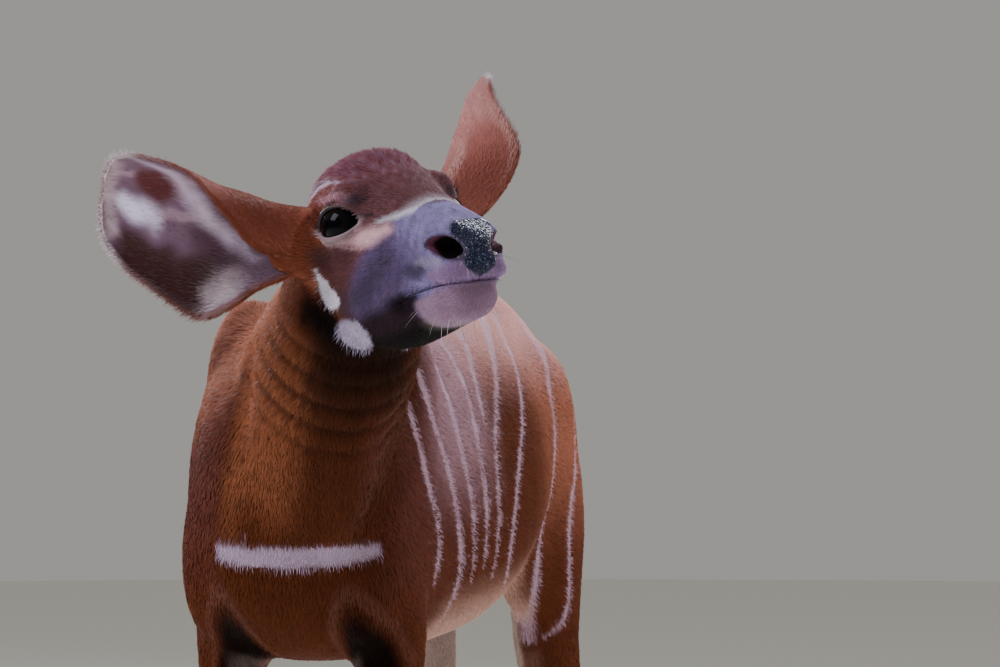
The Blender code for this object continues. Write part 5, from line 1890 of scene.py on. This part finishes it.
def ear_colours(along, across, inside, points):
    """Colour by the leaf's own coordinates: root to tip and lower to upper margin."""
    waver = 0.04 * wobble(points, 0.02, 31)
    s, t = along + waver, across + waver * 2
    colour = covered(len(points), paint(112, 86, 106))
    ridge = smooth_step(np.cos(t * RIDGE_WAVES), 0.55, 0.95) * smooth_step(s, 0.2, 0.4)
    colour = laid(colour, ridge * 0.40, paint(190, 160, 176))
    red = within(patch(s, t, (0.72, 0.45), (0.14, 0.30)), 0.05)
    colour = laid(colour, red, paint(84, 38, 42))
    white = within(patch(s, t, (0.83, -0.05), (0.09, 0.20)), 0.06)
    colour = laid(colour, white, paint(222, 212, 240))
    lower = (1 - smooth_step(t, -0.55, -0.30)) * smooth_step(s, 0.30, 0.42)
    lower *= 1 - smooth_step(s, 0.86, 0.95)
    colour = laid(colour, lower * 0.95, paint(50, 21, 14))
    hollow = within(patch(s, t, (0.34, -0.20), (0.22, 0.32)), 0.08)
    colour = laid(colour, hollow * 0.9, paint(70, 42, 56))
    streak = stroke(s, t, [(0.82, 0.90), (0.66, 0.70), (0.57, 0.22), (0.46, -0.12), (0.36, -0.28),
                           (0.20, -0.50)], (0.02, 0.04, 0.05, 0.05, 0.04, 0.02))
    colour = laid(colour, within(streak, 0.05) * 0.8, paint(196, 178, 202))
    tip = smooth_step(s, 0.90, 0.97)
    colour = laid(colour, tip * 0.7, paint(180, 160, 166))
    patch_of_hair = within(patch(s, t, (0.34, -0.80), (0.09, 0.22)), 0.06)
    colour = laid(colour, patch_of_hair * 0.8, paint(196, 180, 188))
    back = covered(len(points), paint(134, 74, 60))
    back = laid(back, smooth_step(s, 0.25, 0.60) * 0.7, paint(178, 116, 110))
    back = laid(back, smooth_step(s, 0.75, 0.98) * 0.6, paint(150, 112, 110))
    colour = np.where(inside[:, None] > 0.5, colour, back)
    margin = smooth_step(np.abs(across), 0.93, 0.98)
    colour = laid(colour, margin * 0.8, paint(112, 58, 40))
    return laid(colour, margin * smooth_step(along, 0.80, 0.90) * 0.8, paint(206, 194, 204))


def ear_hair_colours(side, s, t, is_inner, points):
    """The ear's colours, with streaks on the left one's back and paler hair inside both."""
    colours = ear_colours(s, t, is_inner, points)
    if side > 0:
        streaks = smooth_step(wobble(np.stack([s * 0.3, t, t], axis=1), 0.25, 33), 0.0, 0.5)
        salmon = (is_inner < 0.5) * (1 - smooth_step(s, 0.55, 0.85))
        colours = laid(colours, salmon * 0.6, paint(166, 104, 98))
        colours = laid(colours, salmon * streaks * 0.5, paint(206, 164, 160))
    margin = smooth_step(np.abs(t), 0.86, 0.97)
    pale = (is_inner > 0.5) * (0.10 + 0.25 * margin * smooth_step(s, 0.55, 0.80))
    return laid(colours, pale, paint(206, 190, 200))


def ear_hair(side, item, along, across, inner):
    """Plant an ear: thickly on its back and margins, thinly in the cup."""
    rim = smooth_step(np.abs(across), 0.86, 0.97)
    root_hair = within(patch(along, across, (0.32, -0.75), (0.16, 0.35)), 0.08)
    density = np.where(inner > 0.5, 0.06 + 1.0 * rim + 0.6 * root_hair, 0.85)
    ear_roots = Roots(item, density * (along > -0.02))
    s, t = ear_roots.carried(along), ear_roots.carried(across)
    is_inner = ear_roots.carried(inner)
    _, axis, opening = ear_axes(side)
    sideways = opening.cross(axis) * side
    upper = 1 if sideways.z > 0 else -1
    outward = (smooth_step(np.abs(t), 0.7, 1.0) * np.sign(t) * upper)[:, None]
    lie = np.array(HEAD.to_3x3() @ axis) + outward * np.array(HEAD.to_3x3() @ sideways) * 0.9
    margin = smooth_step(np.abs(t), 0.86, 0.97) * (t < 0)
    length = np.where(is_inner > 0.5, 6.0, 4.2) + 3.2 * margin * (1 - smooth_step(s, 0.4, 0.7))
    width = np.where(is_inner > 0.5, 0.42, 0.6)
    rise = np.where(is_inner > 0.5, 0.20, 0.12)
    blades = tuft_points(ear_roots.points, ear_roots.normals, lie, length * MM, width * MM, rise)
    colours = ear_hair_colours(side, s, t, is_inner, ear_roots.points)
    planted(sided("coat_ear", side), blades, colours, ear_roots.maps)


for side, (item, inside) in EARS.items():
    inner = inside.astype(float)
    along, across = float_attribute(item, "along"), float_attribute(item, "across")
    lay_map(item)
    colour_points(item, ear_colours(along, across, inner, points_of(item)))
    dress(item, EAR_SKIN)
    ear_hair(side, item, along, across, inner)
print("pieces of hair so far:", len(PLANTED))

# %% [markdown]
# ## Long hairs
# Lashes, whiskers and the brush of the tail are longer than any tuft. Each is a
# blade of several steps along a curve, thin at its end. The curve starts in one
# direction and bends towards another, as a hair does under its own weight.

# %% Lashes, whiskers and the tail's brush
STRAND_STEPS = 6
LASH_COUNT = 90
BRUSH_COUNT = 2600


def strand_mesh(name, starts, ways, bends, lengths, widths, colours):
    """Blades along bent curves, joined in one mesh."""
    count = len(starts)
    ways = ways / np.linalg.norm(ways, axis=1, keepdims=True)
    side = np.cross(ways, random.normal(size=(count, 3)))
    side /= np.linalg.norm(side, axis=1, keepdims=True)
    rings = []
    for step in range(STRAND_STEPS + 1):
        t = step / STRAND_STEPS
        middle = starts + (ways * t + bends * t ** 2) * lengths[:, None]
        half = widths[:, None] * (1 - t) ** 0.6 / 2 + 0.02 * MM
        rings.append(np.stack([middle - side * half, middle + side * half], axis=1))
    points = np.stack(rings, axis=1).reshape(count, -1, 3)
    per_strand = points.shape[1]
    quad = np.array([(2 * s, 2 * s + 1, 2 * s + 3, 2 * s + 2) for s in range(STRAND_STEPS)])
    faces = (np.arange(count)[:, None, None] * per_strand + quad).reshape(-1)
    mesh = bpy.data.meshes.new(name)
    mesh.vertices.add(count * per_strand)
    mesh.vertices.foreach_set("co", points.ravel())
    mesh.loops.add(len(faces))
    mesh.loops.foreach_set("vertex_index", faces)
    mesh.polygons.add(len(faces) // 4)
    mesh.polygons.foreach_set("loop_start", np.arange(0, len(faces), 4))
    mesh.update(calc_edges=True)
    layer = mesh.uv_layers.new(name="OFBake")
    places = np.repeat(random.uniform(0.05, 0.95, (count, 2)), 4 * STRAND_STEPS, axis=0)
    corner = np.array([(0, 0), (1, 0), (1, 1), (0, 1)]) * MAP_PATCH
    corner = np.tile(corner, (count * STRAND_STEPS, 1))
    layer.uv.foreach_set("vector", (places + corner).ravel())
    item = bpy.data.objects.new(name, mesh)
    bpy.context.scene.collection.objects.link(item)
    colour_points(item, np.repeat(colours, per_strand, axis=0))
    dress(item, FUR)


def lashes(side):
    """Dark lashes along the outer part of the upper lid."""
    starts, ways = [], []
    turn = HEAD @ eye_place(side)
    for step in np.linspace(3, 34, LASH_COUNT):
        across, height = almond(step, LID_STEPS, 1.4 * MM)
        out = math.sqrt((EYE_RADIUS + 1.8 * MM) ** 2 - across ** 2 - height ** 2)
        spot = Vector((across, height, out))
        starts.append(turn @ spot)
        ways.append(turn.to_3x3() @ (spot.normalized() + Vector((across * 12, 0.35, 0.5))))
    starts = np.array(starts)
    ways = np.array(ways) + random.normal(0, 0.08, (LASH_COUNT, 3))
    up = np.array(turn.to_3x3() @ Vector((0, 1, 0)))
    strand_mesh(sided("lashes", side), starts, ways, np.tile(up * 0.45, (LASH_COUNT, 1)),
                random.uniform(5, 8, LASH_COUNT) * MM, np.full(LASH_COUNT, 0.35 * MM),
                covered(LASH_COUNT, paint(12, 8, 8)))


def whiskers():
    """Sparse stiff hairs on the chin and the lips, pale and a few dark."""
    place = to_head(skin_points)
    chin = within(patch(place[:, 1], place[:, 2], (74, -90), (30, 14)), 4)
    lip = within(patch(place[:, 1], place[:, 2], (100, -62), (16, 9)), 3)
    furred = (place[:, 2] < -50) * (1 - on_nose_pad(place)) * (1 - skin_hollow)
    chosen = Roots(skin, 0.011 * np.maximum(chin, lip * 0.9) * furred)
    count = len(chosen.points)
    down = np.array(HEAD.to_3x3() @ Vector((0, 0.25, -0.6)))
    pale = random.random(count) < 0.7
    colours = np.where(pale[:, None], paint(214, 204, 204), paint(40, 30, 34))
    lengths = random.uniform(6, 15, count) * MM
    strand_mesh("whiskers", chosen.points, chosen.normals + down * 0.4,
                np.tile(down * 0.35, (count, 1)), lengths, np.full(count, 0.16 * MM), colours)


def tail_brush():
    """Long hair along the end of the tail, dark with paler hairs among it."""
    along = random.uniform(0.55, 1.0, BRUSH_COUNT) ** 0.8
    around = random.uniform(0, math.tau, BRUSH_COUNT)
    starts = np.array([tail_path(value) for value in along])
    ring = np.stack([np.cos(around), np.sin(around), np.zeros(BRUSH_COUNT)], axis=1)
    starts = starts + ring * 3.2 * MM
    ways = ring * 0.16 + np.array([0, 0, -1.0]) + random.normal(0, 0.05, (BRUSH_COUNT, 3))
    dark = random.random((BRUSH_COUNT, 1))
    colours = np.where(dark < 0.75, paint(30, 18, 15), paint(104, 60, 40))
    colours = np.where(dark > 0.94, paint(190, 178, 170), colours)
    lengths = random.uniform(34, 62, BRUSH_COUNT) * MM * np.clip(1.5 - along * 0.6, 0.7, 1)
    strand_mesh("tail_brush", starts, ways, ring * -0.10, lengths,
                np.full(BRUSH_COUNT, 0.75 * MM), colours)


lashes(1)
lashes(-1)
whiskers()
tail_brush()

# %% [markdown]
# ## Hooves
# The solids already have the two claws. A merged copy of each is subdivided, and
# faint growth rings are pressed into the wall of the horn, which is darkest at the
# coronet and scratched towards the ground.

# %% Hooves
HORN = coloured_material("hoof_horn", 0.38)
RING_STEP = 2.6 * MM
RING_HEIGHT = 0.16 * MM


def hoof(node):
    """A hoof with growth rings, from a copy of its solid."""
    bm = bmesh.new()
    bm.from_mesh(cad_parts[node].data)
    bmesh.ops.remove_doubles(bm, verts=bm.verts, dist=MERGE_WITHIN)
    bmesh.ops.subdivide_edges(bm, edges=bm.edges, cuts=3, use_grid_fill=True)
    bm.normal_update()
    for vertex in bm.verts:
        wall = max(0.0, 1 - abs(vertex.normal.z)) * min(1.0, vertex.co.z / (3 * MM))
        wave = math.sin(vertex.co.z / RING_STEP * math.tau)
        vertex.co += vertex.normal * RING_HEIGHT * wall * wave
    item = as_object(node + "_horn", bm)
    place = points_of(item)
    colours = covered(len(place), paint(44, 36, 35))
    colours = laid(colours, smooth_step(place[:, 2], 0.022, 0.038), paint(24, 18, 18))
    colours = laid(colours, (1 - smooth_step(place[:, 2], 0.0, 0.014)) * 0.5, paint(88, 76, 68))
    streaks = smooth_step(wobble(place * (1, 1, 0.15), 0.004, 41), 0.1, 0.6)
    colour_points(item, laid(colours, streaks * 0.35, paint(96, 84, 78)))
    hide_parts(node)
    dress(item, HORN)


HOOVES = [node for node in sorted(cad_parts) if "hoof" in node]
for node in HOOVES:
    hoof(node)
print("hooves:", HOOVES)

# %% [markdown]
# ## Measuring
# The box of the solids and that of the dressed calf are printed, and the triangles counted.
# The dressed calf may pass the solids only by a few hairs.

# %% Sizes and finish
shown_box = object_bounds()
sizes = {
    "solids": [[float(value) for value in corner] for corner in CAD_BOX],
    "shown": [[float(value) for value in corner] for corner in shown_box],
}
for name, corners in sizes.items():
    print(name, [round(high - low, 4) for low, high in zip(*corners)])
triangles = sum(len(polygon.vertices) - 2 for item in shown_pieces() if item.type == "MESH"
                for polygon in item.data.polygons)
print("triangles in all:", triangles)
